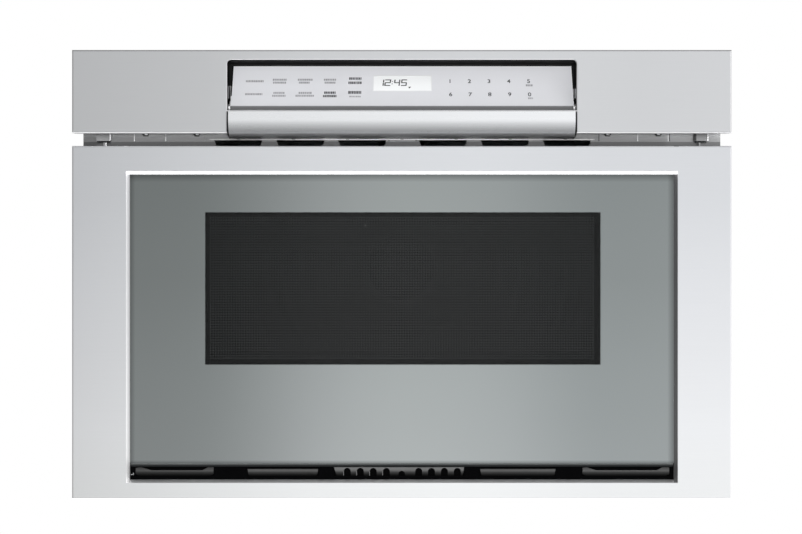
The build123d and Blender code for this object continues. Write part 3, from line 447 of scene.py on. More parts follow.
def shaded_insert(name):
    """Grey pads with painted shade: they fall away to black at their foot and darken towards the left."""
    m, nt, out = new_mat(name)
    b = principled(nt, out, 0.5, 0.0, spec=0.1)
    p = axes(nt)
    n = tex_noise(nt, (1, 1, 1), 50.0, 3.0)
    tint = ramp(nt, n.outputs["Fac"], [(0.3, (0.88, 0.88, 0.88)), (0.7, (1.0, 1.0, 1.0))])
    painted_shade_by_z = ramp(nt, step(nt, p.outputs["Z"], -0.1860, -0.1765), grey(
        (0.0, 0.0004), (0.126, 0.0006), (0.23, 0.003), (0.326, 0.012), (0.42, 0.021), (0.516, 0.041),
        (0.61, 0.073), (0.716, 0.058), (0.85, 0.050), (1.0, 0.030),
    ))
    col = mix_colour(nt, 1.0, painted_shade_by_z.outputs["Color"], tint.outputs["Color"], "MULTIPLY")
    painted_light_across_x = ramp(nt, step(nt, p.outputs["X"], -0.250, 0.250), grey(
        (0.0, 0.70), (0.15, 0.78), (0.24, 0.98), (1.0, 1.0),
    ))
    col = mix_colour(nt, 1.0, col, painted_light_across_x.outputs["Color"], "MULTIPLY")
    # painted light: the middle pad is lighter along its head
    head_painted_light = ramp(nt, step(nt, p.outputs["Z"], -0.1860, -0.1765), grey(
        (0.0, 1.0), (0.55, 1.0), (0.62, 1.10), (0.72, 1.75), (0.85, 2.3), (1.0, 2.6),
    ))
    ax = math_node(nt, "ABSOLUTE", p.outputs["X"], 0.0)
    col2 = mix_colour(nt, 1.0, col, head_painted_light.outputs["Color"], "MULTIPLY")
    nt.links.new(mix_colour(nt, step(nt, ax, 0.0640, 0.0655, 1.0, 0.0), col, col2), b.inputs["Base Color"])
    return m


def two_tone(name, low, high, split, rough, metallic=0.0, spec=0.5, soft=0.0004):
    """One tone below the height split and another above."""
    m, nt, out = new_mat(name)
    b = principled(nt, out, rough, metallic, spec=spec)
    p = axes(nt)
    n = tex_noise(nt, (1, 1, 1), 30.0, 4.0)
    tint = ramp(nt, n.outputs["Fac"], [(0.3, (0.95, 0.95, 0.95)), (0.7, (1.0, 1.0, 1.0))])
    base = mix_colour(nt, step(nt, p.outputs["Z"], split - soft, split + soft), low, high)
    nt.links.new(mix_colour(nt, 1.0, base, tint.outputs["Color"], "MULTIPLY"), b.inputs["Base Color"])
    fine = tex_noise(nt, (1, 1, 1), 900.0, 2.0)
    bump(nt, b, fine.outputs["Fac"], 0.05, 0.0002)
    return m


def carrier_plastic(name):
    """Black moulding; painted light makes its front edge below the key panel grey, changing with height."""
    m, nt, out = new_mat(name)
    b = principled(nt, out, 0.5, 0.0, spec=0.15)
    p = axes(nt)
    n = tex_noise(nt, (1, 1, 1), 60.0, 3.0)
    dark = ramp(nt, n.outputs["Fac"], [(0.3, (0.004, 0.004, 0.0045)), (0.7, (0.005, 0.005, 0.0055))])
    # painted light on the front edge, changing with height
    lit = ramp(nt, step(nt, p.outputs["Z"], 0.1508, 0.1562), [
        (0.0, (0.115, 0.117, 0.119)), (0.5, (0.082, 0.083, 0.085)), (0.8, (0.092, 0.093, 0.095)), (1.0, (0.16, 0.162, 0.165)),
    ])
    edge = step(nt, p.outputs["Y"], -0.0367, -0.0365, 1.0, 0.0)
    nt.links.new(mix_colour(nt, edge, dark.outputs["Color"], lit.outputs["Color"]), b.inputs["Base Color"])
    fine = tex_noise(nt, (1, 1, 1), 1800.0, 2.0)
    bump(nt, b, fine.outputs["Fac"], 0.1, 0.0002)
    return m


def recess_plastic(name):
    """Black moulding with two grey pads beside the key panel; painted light makes the right pad lighter than the left.
    """
    m, nt, out = new_mat(name)
    b = principled(nt, out, 0.6, 0.0, spec=0.01)
    p = axes(nt)
    n = tex_noise(nt, (1, 1, 1), 60.0, 3.0)
    grain = ramp(nt, n.outputs["Fac"], [(0.3, (0.90, 0.90, 0.95)), (0.7, (1.0, 1.0, 1.0))])
    ends = ramp(nt, step(nt, math_node(nt, "ABSOLUTE", p.outputs["X"], 0.0), 0.0, 0.1635), grey(
        (0.0, 0.0085), (0.78, 0.0090), (0.95, 0.0140), (1.0, 0.0170),
    ))
    dark = mix_colour(nt, 1.0, ends.outputs["Color"], grain.outputs["Color"], "MULTIPLY")
    lift = math_node(nt, "ADD", p.outputs["Z"], step(nt, p.outputs["X"], -0.01, 0.01, 0.0, 0.0026))
    z = math_node(nt, "MULTIPLY", step(nt, p.outputs["Z"], 0.1640, 0.1643),
                  step(nt, lift, 0.1755, 0.1758, 1.0, 0.0))
    y = math_node(nt, "MULTIPLY", step(nt, p.outputs["Y"], -0.0243, -0.0241),
                  step(nt, p.outputs["Y"], 0.0140, 0.0142, 1.0, 0.0))
    ax = math_node(nt, "ABSOLUTE", p.outputs["X"], 0.0)
    side = step(nt, ax, 0.16195, 0.16205, 1.0, 0.0)
    mask = math_node(nt, "MULTIPLY", math_node(nt, "MULTIPLY", z, y), side)
    # painted light: the right pad lighter than the left
    pad = ramp(nt, step(nt, p.outputs["X"], -0.01, 0.01), [(0.0, (0.14, 0.141, 0.146)), (1.0, (0.26, 0.262, 0.27))])
    nt.links.new(mix_colour(nt, mask, dark, pad.outputs["Color"]), b.inputs["Base Color"])
    return m


STEEL = (0.80, 0.80, 0.82)
M = {
    "stainless": brushed("stainless_front", STEEL, 0.30),
    "stainless_y": brushed("stainless_edge", STEEL, 0.30, along=(220, 1.5, 220)),
    "cap": brushed("cap_metal", (0.82, 0.82, 0.83), 0.2, along=(200, 3, 200)),
    "drawer_front": drawer_steel("drawer_steel"),
    "fascia": fascia_steel("fascia_steel"),
    "pale_rim": simple("pale_rim", (0.66, 0.665, 0.675), 0.45, 0.0, var=0.02),
    "pads": shaded_insert("shaded_insert"),
    "caps": two_tone("cap_metal_dark_foot", (0.012, 0.012, 0.013), (0.72, 0.72, 0.73), 0.1500, 0.3, 0.6),
    # painted shade: black for openings, slots, notches and recesses that lie in shade
    "painted_shade": simple("painted_shade_black", (0.0012, 0.0012, 0.0013), 0.6, 0.0, spec=0.02),
    "bright": simple("bright_edge", (0.86, 0.86, 0.87), 0.3, 0.0, var=0.03),
    # painted shade along the foot of the mirror glass
    "foot_a": simple("glass_foot_painted_shade", (0.040, 0.042, 0.042), 0.3, 0.0, var=0.05, spec=0.1),
    "foot_c": simple("glass_edge_painted_shade", (0.110, 0.117, 0.117), 0.3, 0.0, var=0.05, spec=0.1),
    "foot_b": simple("glass_foot_dark_painted_shade", (0.010, 0.011, 0.0115), 0.3, 0.0, var=0.05, spec=0.1),
    "edge_dim": simple("edge_dim", (0.115, 0.115, 0.117), 0.4, 0.0, var=0.05, spec=0.2),
    "dark_grey": simple("dark_grey", (0.035, 0.035, 0.036), 0.5, 0.0, var=0.05),
    "mid": simple("mid_grey", (0.24, 0.242, 0.245), 0.4, 0.1, var=0.05),
    "lip": lip_steel("lip_steel"),
    "cover_steel": cover_steel("cover_steel"),
    "mid_ink": simple("mid_ink", (0.075, 0.076, 0.082), 0.5, 0.0, var=0.1, noise=300.0),
    "flange": flange_paint("flange_grey"),
    "carrier": carrier_plastic("carrier_plastic"),
    "recess": recess_plastic("recess_plastic"),
    "galv": spangled("galvanised"),
    "enamel": simple("cavity_enamel", (0.36, 0.36, 0.355), 0.34, 0.0, var=0.06, noise=120.0, bump_s=0.08, bump_scale=1500.0),
    "alu": brushed("plain_aluminium", (0.72, 0.73, 0.74), 0.32, along=(30, 3, 30), streak=0.04, bump_s=0.05),
    "mica": simple("mica_board", (0.60, 0.52, 0.36), 0.55, 0.0, var=0.14, noise=60.0),
    "motor": brushed("zinc_motor", (0.62, 0.62, 0.59), 0.34, along=(8, 8, 60), streak=0.05, bump_s=0.05),
    "magnetron": brushed("magnetron_metal", (0.66, 0.66, 0.67), 0.30, along=(4, 4, 90), streak=0.05, bump_s=0.08),
    "iron": simple("varnished_iron", (0.055, 0.045, 0.04), 0.38, 0.3, var=0.25, noise=40.0, stretch=(200, 1, 1), coat=0.3),
    "can": brushed("capacitor_can", (0.76, 0.77, 0.78), 0.24, along=(40, 40, 2), streak=0.03, bump_s=0.03),
    "black": simple("black_plastic", (0.008, 0.008, 0.009), 0.55, 0.0, var=0.12, noise=80.0, bump_s=0.15, bump_scale=2200.0, spec=0.12),
    "board": simple("circuit_board", (0.02, 0.11, 0.045), 0.35, 0.0, var=0.2, noise=90.0, coat=0.3),
    "lamp": simple("lamp_shell", (0.62, 0.62, 0.60), 0.45, 0.1),
    "switch_red": simple("switch_body", (0.42, 0.03, 0.022), 0.35, 0.0),
    "button": simple("switch_button", (0.72, 0.71, 0.67), 0.35, 0.0),
    "zinc": brushed("zinc_slide", (0.66, 0.68, 0.70), 0.30, along=(120, 2, 120), streak=0.05, bump_s=0.05),
    "spacer": simple("spacer_grey", (0.235, 0.236, 0.24), 0.5, 0.0),
    "screw": brushed("screw_nickel", (0.80, 0.79, 0.77), 0.20, along=(60, 60, 60), streak=0.03, bump_s=0.03),
    "screen": simple("screen_black", (0.008, 0.008, 0.0085), 0.5, 0.0, var=0.15, noise=200.0, spec=0.12),
    "door": simple("door_black", (0.010, 0.010, 0.0105), 0.45, 0.0, var=0.1, noise=60.0, spec=0.25),
    "choke": simple("choke_black", (0.02, 0.02, 0.021), 0.46, 0.0, var=0.1),
    "pan": simple("pan_enamel", (0.34, 0.34, 0.335), 0.30, 0.0, var=0.05, noise=140.0, bump_s=0.06, bump_scale=1600.0, coat=0.25),
    "tray": simple("ceramic_tray", (0.035, 0.035, 0.038), 0.22, 0.0, var=0.25, noise=260.0, bump_s=0.05, coat=0.3),
    "acetal": simple("acetal", (0.74, 0.72, 0.66), 0.38, 0.0, var=0.04, noise=50.0),
    "grille": simple("grille_black", (0.0011, 0.0011, 0.0013), 0.55, 0.0, var=0.15, noise=90.0, spec=0.02),
    "insert": simple("insert_grey", (0.10, 0.10, 0.102), 0.36, 0.4, var=0.08, noise=60.0),
    "fan": simple("fan_plastic", (0.05, 0.05, 0.052), 0.40, 0.0),
    "key": simple("key_panel", (0.78, 0.785, 0.82), 0.42, 0.0, var=0.015, noise=40.0, bump_s=0.03, bump_scale=2500.0),
    "ink": simple("key_ink", (0.035, 0.036, 0.04), 0.5, 0.0, var=0.1, noise=300.0),
    "pale_ink": simple("pale_ink", (0.26, 0.262, 0.275), 0.5, 0.0, var=0.1, noise=300.0),
    # painted light: grey for plates on the pads beside the key panel, lighter at the right
    "pad_l": simple("pad_grey_painted_light", (0.20, 0.20, 0.202), 0.5, 0.0, var=0.05),
    "pad_r": simple("pad_pale_grey_painted_light", (0.37, 0.37, 0.375), 0.5, 0.0, var=0.05),
    "rim": simple("display_rim", (0.20, 0.21, 0.22), 0.4, 0.0),
}


def key_panel(name):
    """Silver-grey printed panel, a little darker towards its lower edge."""
    m, nt, out = new_mat(name)
    b = principled(nt, out, 0.42, 0.0)
    tc = nt.nodes.new("ShaderNodeTexCoord")
    sep = nt.nodes.new("ShaderNodeSeparateXYZ")
    nt.links.new(tc.outputs["Object"], sep.inputs["Vector"])
    mr = nt.nodes.new("ShaderNodeMapRange")
    mr.inputs["From Min"].default_value = 0.156
    mr.inputs["From Max"].default_value = 0.197
    nt.links.new(sep.outputs["Z"], mr.inputs["Value"])
    low = ramp(nt, mr.outputs["Result"], [
        (0.0, (0.50, 0.505, 0.525)), (0.45, (0.60, 0.605, 0.63)), (1.0, (0.72, 0.725, 0.755)),
    ])
    n = tex_noise(nt, (1, 1, 1), 40.0, 3.0)
    tint = ramp(nt, n.outputs["Fac"], [(0.3, (0.985, 0.985, 0.985)), (0.7, (1.0, 1.0, 1.0))])
    mul = nt.nodes.new("ShaderNodeMix")
    mul.data_type = "RGBA"
    mul.blend_type = "MULTIPLY"
    mul.inputs["Factor"].default_value = 1.0
    nt.links.new(low.outputs["Color"], mul.inputs[6])
    nt.links.new(tint.outputs["Color"], mul.inputs[7])
    nt.links.new(mul.outputs[2], b.inputs["Base Color"])
    fine = tex_noise(nt, (1, 1, 1), 2500.0, 2.0)
    bump(nt, b, fine.outputs["Fac"], 0.03, 0.0002)
    return m


M["key"] = key_panel("key_panel")


def clear_glass(name):
    m, nt, out = new_mat(name)
    b = principled(nt, out, 0.03, 0.0, ior=1.46)
    b.inputs["Alpha"].default_value = 0.22
    n = tex_noise(nt, (1, 1, 1), 6.0, 2.0)
    r = ramp(nt, n.outputs["Fac"], [(0.3, (0.60, 0.66, 0.65)), (0.7, (0.64, 0.70, 0.69))])
    nt.links.new(r.outputs["Color"], b.inputs["Base Color"])
    return m


M["clear"] = clear_glass("clear_glass")


def mirror_glass(name):
    """Grey-green half mirror. Inside the window rectangle the coat is left out
    and the glass is clear, so that the screen behind it shows."""
    m, nt, out = new_mat(name)
    tc = nt.nodes.new("ShaderNodeTexCoord")
    sep = nt.nodes.new("ShaderNodeSeparateXYZ")
    nt.links.new(tc.outputs["Object"], sep.inputs["Vector"])

    def inside(sock, centre, half, soft=0.0003):
        s = nt.nodes.new("ShaderNodeMath")
        s.operation = "SUBTRACT"
        s.inputs[1].default_value = centre
        nt.links.new(sock, s.inputs[0])
        a = nt.nodes.new("ShaderNodeMath")
        a.operation = "ABSOLUTE"
        nt.links.new(s.outputs["Value"], a.inputs[0])
        r = nt.nodes.new("ShaderNodeMapRange")
        r.inputs["From Min"].default_value = half - soft
        r.inputs["From Max"].default_value = half + soft
        r.inputs["To Min"].default_value = 1.0
        r.inputs["To Max"].default_value = 0.0
        nt.links.new(a.outputs["Value"], r.inputs["Value"])
        return r.outputs["Result"]

    win_x, win_lo, win_hi = 0.1820, -0.0824, 0.0579
    mx = inside(sep.outputs["X"], 0.0009, win_x)
    mz = inside(sep.outputs["Z"], (win_lo + win_hi) / 2, (win_hi - win_lo) / 2)
    mm = nt.nodes.new("ShaderNodeMath")
    mm.operation = "MULTIPLY"
    nt.links.new(mx, mm.inputs[0])
    nt.links.new(mz, mm.inputs[1])

    n = tex_noise(nt, (1, 1, 1), 5.0, 3.0)
    coat = principled(nt, out, 0.08, 1.0)
    # painted reflection: the coat is lighter low down and varies across x
    height = ramp(nt, step(nt, sep.outputs["Z"], -0.1745, 0.0923), [
        (0.0, (0.350, 0.367, 0.367)), (0.30, (0.318, 0.336, 0.335)), (0.65, (0.272, 0.288, 0.286)),
        (1.0, (0.256, 0.273, 0.271)),
    ])
    r = ramp(nt, n.outputs["Fac"], [(0.3, (0.97, 0.97, 0.97)), (0.7, (1.0, 1.0, 1.0))])
    tinted = mix_colour(nt, 1.0, height.outputs["Color"], r.outputs["Color"], "MULTIPLY")
    painted_light_across_x = ramp(nt, step(nt, sep.outputs["X"], -0.25, 0.25), grey(
        (0.0, 0.93), (0.25, 0.95), (0.42, 0.985), (0.6, 0.985), (0.75, 0.955), (1.0, 0.965),
    ))
    tinted = mix_colour(nt, 1.0, tinted, painted_light_across_x.outputs["Color"], "MULTIPLY")
    # the frame's shade along the borders
    shade = step(nt, sep.outputs["Z"], 0.0858, 0.0923, 1.0, 0.52)
    shade = math_node(nt, "MULTIPLY", shade, step(nt, sep.outputs["X"], -0.2500, -0.2455, 0.60, 1.0))
    shade = math_node(nt, "MULTIPLY", shade, step(nt, sep.outputs["X"], 0.2445, 0.2503, 1.0, 0.50))
    shade = math_node(nt, "MULTIPLY", shade, step(nt, sep.outputs["Z"], -0.1745, -0.1702, 0.36, 1.0))
    dark = nt.nodes.new("ShaderNodeCombineColor")
    for k in range(3):
        nt.links.new(shade, dark.inputs[k])
    tinted = mix_colour(nt, 1.0, tinted, dark.outputs["Color"], "MULTIPLY")
    nt.links.new(tinted, coat.inputs["Base Color"])
    clear = nt.nodes.new("ShaderNodeBsdfPrincipled")
    clear.inputs["Base Color"].default_value = (0.006, 0.0065, 0.0065, 1)
    clear.inputs["Roughness"].default_value = 0.04
    clear.inputs["IOR"].default_value = 1.36
    clear.inputs["Alpha"].default_value = 0.5
    mix = nt.nodes.new("ShaderNodeMixShader")
    nt.links.new(mm.outputs["Value"], mix.inputs["Fac"])
    nt.links.new(coat.outputs["BSDF"], mix.inputs[1])
    nt.links.new(clear.outputs["BSDF"], mix.inputs[2])
    nt.links.new(mix.outputs["Shader"], out.inputs["Surface"])
    return m


M["mirror_glass"] = mirror_glass("mirror_glass")


def display_mat(name):
    m, nt, out = new_mat(name)
    b = principled(nt, out, 0.18, 0.0, coat=0.4, coat_rough=0.05)
    n = tex_noise(nt, (1, 1, 1), 12.0, 2.0)
    r = ramp(nt, n.outputs["Fac"], [(0.3, (0.715, 0.73, 0.735)), (0.7, (0.755, 0.765, 0.77))])
    nt.links.new(r.outputs["Color"], b.inputs["Base Color"])
    nt.links.new(r.outputs["Color"], b.inputs["Emission Color"])
    b.inputs["Emission Strength"].default_value = 0.10
    return m


M["display"] = display_mat("display_lit")

CAD_LOOK = {
    "front_flange": "flange", "outer_case": "galv", "base_plate": "galv", "back_plate": "galv",
    "cavity_wrapper": "enamel", "cavity_floor": "enamel", "cavity_back": "enamel",
    "waveguide": "alu", "waveguide_cover": "mica", "stirrer_motor": "motor", "magnetron": "magnetron",
    "hv_transformer": "iron", "hv_capacitor": "can", "fan_housing": "black", "fan_motor": "motor",
    "exhaust_grille": "flange", "power_board": "board", "power_inlet": "black", "cavity_lamp": "lamp",
    "interlock_switches": "switch_red", "drive_bracket": "zinc", "drive_motor": "motor",
    "slide_outer_members": "zinc", "slide_mounts": "zinc", "control_fascia": "fascia",
    "recess_housing": "recess", "face_carrier": "carrier", "control_face": "key", "display_window": "display",
    "fascia_brackets": "flange", "fascia_spacers": "spacer", "panel_screws": "screw", "tilt_motor": "motor",
    "drawer_frame": "drawer_front", "front_glass": "mirror_glass", "window_screen": "screen",
    "door_panel": "door", "door_choke": "door", "choke_cover": "choke", "inner_window": "clear",
    "drawer_pan": "pan", "ceramic_tray": "tray", "door_channel": "zinc", "support_arms": "zinc",
    "slide_inner_members": "zinc", "drive_rack": "acetal", "vent_grille": "grille", "grille_insert": "insert",
    "latch_fingers": "acetal", "slide_middle_left": "zinc", "slide_middle_right": "zinc",
    "drive_pinion": "acetal", "panel_cover": "cover_steel", "cover_end_caps": "caps", "cover_gear": "acetal",
    "tilt_gear": "acetal", "cooling_fan": "fan", "stirrer_vane": "alu",
    "switch_plunger_left": "button", "switch_plunger_right": "button",
}
for name, key in CAD_LOOK.items():
    o = nodes[name]
    if not o.material_slots:
        o.data.materials.append(M[key])
    for s in o.material_slots:
        s.material = M[key]


# -------------------------------------------------------------------- helpers
def mesh_object(name, verts, faces, mat, body, smooth=False):
    me = bpy.data.meshes.new(name)
    me.from_pydata([tuple(c * MM for c in v) for v in verts], [], faces)
    me.update()
    me.materials.append(M[mat])
    o = bpy.data.objects.new(name, me)
    bpy.context.scene.collection.objects.link(o)
    if smooth:
        for p in me.polygons:
            p.use_smooth = True
    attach(o, body)
    return o


def from_bmesh(name, bm, mat, body, smooth=False):
    bmesh.ops.recalc_face_normals(bm, faces=bm.faces)
    me = bpy.data.meshes.new(name)
    bm.to_mesh(me)
    bm.free()
    me.materials.append(M[mat])
    o = bpy.data.objects.new(name, me)
    bpy.context.scene.collection.objects.link(o)
    if smooth:
        for p in me.polygons:
            p.use_smooth = True
    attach(o, body)
    return o


def add_box(bm, lo, hi, bevel=0.0):
    """A box given in millimetres, with its edges broken if bevel is given."""
    c = [(a + b) / 2 * MM for a, b in zip(lo, hi)]
    s = [abs(b - a) * MM for a, b in zip(lo, hi)]
    got = bmesh.ops.create_cube(bm, size=1.0, matrix=Matrix.Translation(c) @ Matrix.Diagonal((*s, 1)))
    if bevel:
        edges = {e for v in got["verts"] for e in v.link_edges}
        bmesh.ops.bevel(bm, geom=list(edges), offset=bevel * MM, segments=2, affect="EDGES", profile=0.6)


def boxes(name, parts, mat, body, bevel=0.0):
    """Several boxes (x0, x1, y0, y1, z0, z1) in one piece."""
    bm = bmesh.new()
    for x0, x1, y0, y1, z0, z1 in parts:
        add_box(bm, (min(x0, x1), min(y0, y1), min(z0, z1)), (max(x0, x1), max(y0, y1), max(z0, z1)), bevel)
    return from_bmesh(name, bm, mat, body)


def prism_y(bm, outline, y0, y1):
    """A closed outline of (x, z) run from y0 to y1."""
    a = [bm.verts.new((x * MM, y0 * MM, z * MM)) for x, z in outline]
    b = [bm.verts.new((x * MM, y1 * MM, z * MM)) for x, z in outline]
    bm.faces.new(a)
    bm.faces.new(list(reversed(b)))
    n = len(outline)
    for i in range(n):
        j = (i + 1) % n
        bm.faces.new((a[j], a[i], b[i], b[j]))


def rod(bm, p0, p1, r, seg=24, r2=None):
    """A round bar between two points in millimetres."""
    a, b = Vector(p0) * MM, Vector(p1) * MM
    d = b - a
    rot = d.to_track_quat("Z", "Y").to_matrix().to_4x4()
    bmesh.ops.create_cone(
        bm, cap_ends=True, segments=seg, radius1=r * MM, radius2=(r if r2 is None else r2) * MM,
        depth=d.length, matrix=Matrix.Translation((a + b) / 2) @ rot,
    )


def round_rect(a0, a1, b0, b1, r, n=6):
    pts = []
    for ca, cb, t0 in ((a1 - r, b1 - r, 0.0), (a0 + r, b1 - r, 0.5), (a0 + r, b0 + r, 1.0), (a1 - r, b0 + r, 1.5)):
        for i in range(n + 1):
            t = math.pi * (t0 + 0.5 * i / n)
            pts.append((ca + r * math.cos(t), cb + r * math.sin(t)))
    return pts


def raised(bm, put, outlines, heights):
    """A boss on a wall: outlines of equal count at rising heights."""
    rings = [[bm.verts.new(Vector(put(a, b, h)) * MM) for a, b in pts] for pts, h in zip(outlines, heights)]
    n = len(rings[0])
    bm.faces.new(rings[0])
    bm.faces.new(rings[-1])
    for r0, r1 in zip(rings, rings[1:]):
        for i in range(n):
            j = (i + 1) % n
            bm.faces.new((r0[i], r0[j], r1[j], r1[i]))


def rib(bm, put, a0, a1, b0, b1, h):
    """A pressed rib with round ends."""
    r = min(a1 - a0, b1 - b0) / 2
    e = min(r * 0.45, 1.6)
    steps = ((0.0, -0.3), (0.0, 0.0), (0.3, 0.55), (0.7, 0.9), (1.0, 1.0))
    raised(bm, put, [round_rect(a0 + e * k, a1 - e * k, b0 + e * k, b1 - e * k, r - e * k - 0.01) for k, _ in steps],
           [h * q for _, q in steps])


def bead(bm, put, a0, a1, b0, b1, r, w, h):
    """A closed raised line round a rectangle with round corners."""
    prof = ((0.0, -0.3), (0.0, 0.0), (0.22, 0.8), (0.5, 1.0), (0.78, 0.8), (1.0, 0.0), (1.0, -0.3))
    rings = []
    for k, q in prof:
        e = w * k
        rings.append([bm.verts.new(Vector(put(a, b, h * q)) * MM)
                      for a, b in round_rect(a0 + e, a1 - e, b0 + e, b1 - e, max(r - e, 0.5))])
    n = len(rings[0])
    for r0, r1 in zip(rings, rings[1:] + rings[:1]):
        for i in range(n):
            j = (i + 1) % n
            bm.faces.new((r0[i], r0[j], r1[j], r1[i]))


def block_on(bm, put, a0, a1, b0, b1, h0, h1):
    v = [bm.verts.new(Vector(put(a, b, h)) * MM) for h in (h0, h1) for a, b in ((a0, b0), (a1, b0), (a1, b1), (a0, b1))]
    for f in ((0, 1, 2, 3), (4, 5, 6, 7), (0, 1, 5, 4), (1, 2, 6, 5), (2, 3, 7, 6), (3, 0, 4, 7)):
        bm.faces.new([v[i] for i in f])


def louvre(bm, dark, put, a0, a1, b0, b1, h):
    """A pressed hood over a slot, open along its lower edge b0."""
    c = (b0 + b1) / 2
    pts = [(a0, b0, -0.3), (a1, b0, -0.3), (a1, b1, -0.3), (a0, b1, -0.3),
           (a0 + 2.5, b0, h), (a1 - 2.5, b0, h), (a0 + 3.2, c, h * 0.78), (a1 - 3.2, c, h * 0.78),
           (a0 + 4.0, b1, 0.02), (a1 - 4.0, b1, 0.02)]
    v = [bm.verts.new(Vector(put(*q)) * MM) for q in pts]
    for f in ((0, 1, 2, 3), (0, 1, 5, 4), (4, 5, 7, 6), (6, 7, 9, 8), (8, 9, 2, 3),
              (0, 4, 6), (0, 6, 8), (0, 8, 3), (1, 7, 5), (1, 9, 7), (1, 2, 9)):
        bm.faces.new([v[i] for i in f])
    # painted shade: a black block fills the open mouth
    block_on(dark, put, a0 + 4, a1 - 4, b0 - 0.08, b0 + 0.3, 0.25, h - 0.5)


def cross_screw(bm, dark, put, a, b, r=3.3, h=1.7):
    outlines = [[(a + q * r * math.cos(2 * math.pi * i / 20), b + q * r * math.sin(2 * math.pi * i / 20))
                 for i in range(20)] for q in (1.0, 1.0, 0.86, 0.55)]
    raised(bm, put, outlines, [-0.3, h * 0.45, h * 0.88, h])
    # painted shade: two black bars mark the cross recess
    block_on(dark, put, a - r * 0.5, a + r * 0.5, b - r * 0.12, b + r * 0.12, h - 0.3, h + 0.03)
    block_on(dark, put, a - r * 0.12, a + r * 0.12, b - r * 0.5, b + r * 0.5, h - 0.3, h + 0.03)


# ------------------------------------------------------- perforated door screen
def perforated(name, x0, x1, z0, z1, hx0, hx1, hz0, hz1, y0, y1, pitch, hole):
    """A sheet with a square grid of square holes; y0 faces the front."""
    nx = int((hx1 - hx0) / pitch)
    nz = int((hz1 - hz0) / pitch)
    ox = (hx0 + hx1) / 2 - nx * pitch / 2
    oz = (hz0 + hz1) / 2 - nz * pitch / 2
    xs, zs = [x0], [z0]
    for i in range(nx):
        c = ox + (i + 0.5) * pitch
        xs += [c - hole / 2, c + hole / 2]
    for k in range(nz):
        c = oz + (k + 0.5) * pitch
        zs += [c - hole / 2, c + hole / 2]
    xs.append(x1)
    zs.append(z1)
    W, H = len(xs), len(zs)
    verts = [(x, y0, z) for z in zs for x in xs] + [(x, y1, z) for z in zs for x in xs]
    n = W * H
    faces = []

    def solid(i, k):
        return not (i % 2 == 1 and k % 2 == 1)

    for k in range(H - 1):
        for i in range(W - 1):
            a, b, c, d = k * W + i, k * W + i + 1, (k + 1) * W + i + 1, (k + 1) * W + i
            if solid(i, k):
                faces.append((a, b, c, d))
                faces.append((n + d, n + c, n + b, n + a))
            else:
                faces += [(a, n + a, n + b, b), (b, n + b, n + c, c), (c, n + c, n + d, d), (d, n + d, n + a, a)]
    for i in range(W - 1):
        a, b = i, i + 1
        faces.append((b, a, n + a, n + b))
        a, b = (H - 1) * W + i, (H - 1) * W + i + 1
        faces.append((a, b, n + b, n + a))
    for k in range(H - 1):
        a, d = k * W, (k + 1) * W
        faces.append((a, d, n + d, n + a))
        a, d = k * W + W - 1, (k + 1) * W + W - 1
        faces.append((d, a, n + a, n + d))
    return verts, faces


v, f = perforated("screen", -190, 190, -89.7, 66.1, -178.5, 178.5, -78.2, 54.6, -38.0, -37.2, 2.4, 1.55)
screen = mesh_object("door_screen", v, f, "screen", "drawer")
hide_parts("window_screen")

# ------------------------------------------------------- strip below the glass
def arch(x, foot, spring, r, n=10):
    """Outline points over an arch of radius r, from its left foot to its right."""
    pts = [(x - r, foot)]
    for i in range(n + 1):
        a = math.pi - math.pi * i / n
        pts.append((x + r * math.cos(a), spring + r * math.sin(a)))
    pts.append((x + r, foot))
    return pts


PAD_Y0, PAD_Y1 = -40.6, -38.9
bm = bmesh.new()
foot = -184.8
for x0, x1, n0, n1 in ((-245.2, -173.5, -237.8, -178.6), (166.5, 246.3, 172.0, 240.0)):
    prism_y(bm, [
        (x0, foot + 1.5), (x0 + 3, foot), (x1 - 3, foot), (x1, foot + 1.5), (x1, -177.0),
        (n1, -177.0), (n1 - 5.0, -179.8), (n0 + 7.0, -179.8), (n0, -177.6), (x0 + 4, -177.0), (x0, -177.6),
    ][::-1], PAD_Y0, PAD_Y1)
for x0, x1 in ((-142.2, -77.2), (72.2, 141.6)):
    prism_y(bm, [
        (x0 + 1.0, foot + 0.4), (x0 + 3, foot), (x1 - 3, foot), (x1 - 1.0, foot + 0.4),
        (x1, -178.6), (x0, -178.6),
    ][::-1], PAD_Y0, PAD_Y1)
outline = [(-60.0, foot)]
for ax_ in (-50.3, -38.3, -26.4, -14.3):
    outline += arch(ax_, foot, -180.75, 3.2)
outline += arch(-0.1, foot, -183.2, 3.0, 8)
for ax_ in (15.5, 27.3, 39.2, 51.1):
    outline += arch(ax_, foot, -180.75, 3.2)
outline += [(56.0, foot), (57.4, -176.9), (-62.6, -176.9)]
prism_y(bm, outline[::-1], PAD_Y0, PAD_Y1)
pads = from_bmesh("grille_pads", bm, "pads", "drawer")
# painted shade: a black sheet behind the pads darkens the gaps and arches
bm = bmesh.new()
add_box(bm, (-249, -38.8, -190), (249, -37.2, -175))
grille_shade = from_bmesh("grille_shade_sheet", bm, "painted_shade", "drawer")
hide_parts("grille_insert")
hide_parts("grille_insert")
# lit edges of the arches
boxes("arch_edges", [
    (x - 3.65, x - 3.1, -40.7, -39.2, foot + 0.3, -180.6) for x in (-50.3, -38.3, -26.4, -14.3)
], "edge_dim", "drawer")
boxes("strip_clip", [
    (-249.8, -247.0, -41.7, -41.05, -183.9, -183.3), (-247.6, -247.0, -41.7, -41.05, -183.3, -181.9),
], "mid", "drawer")

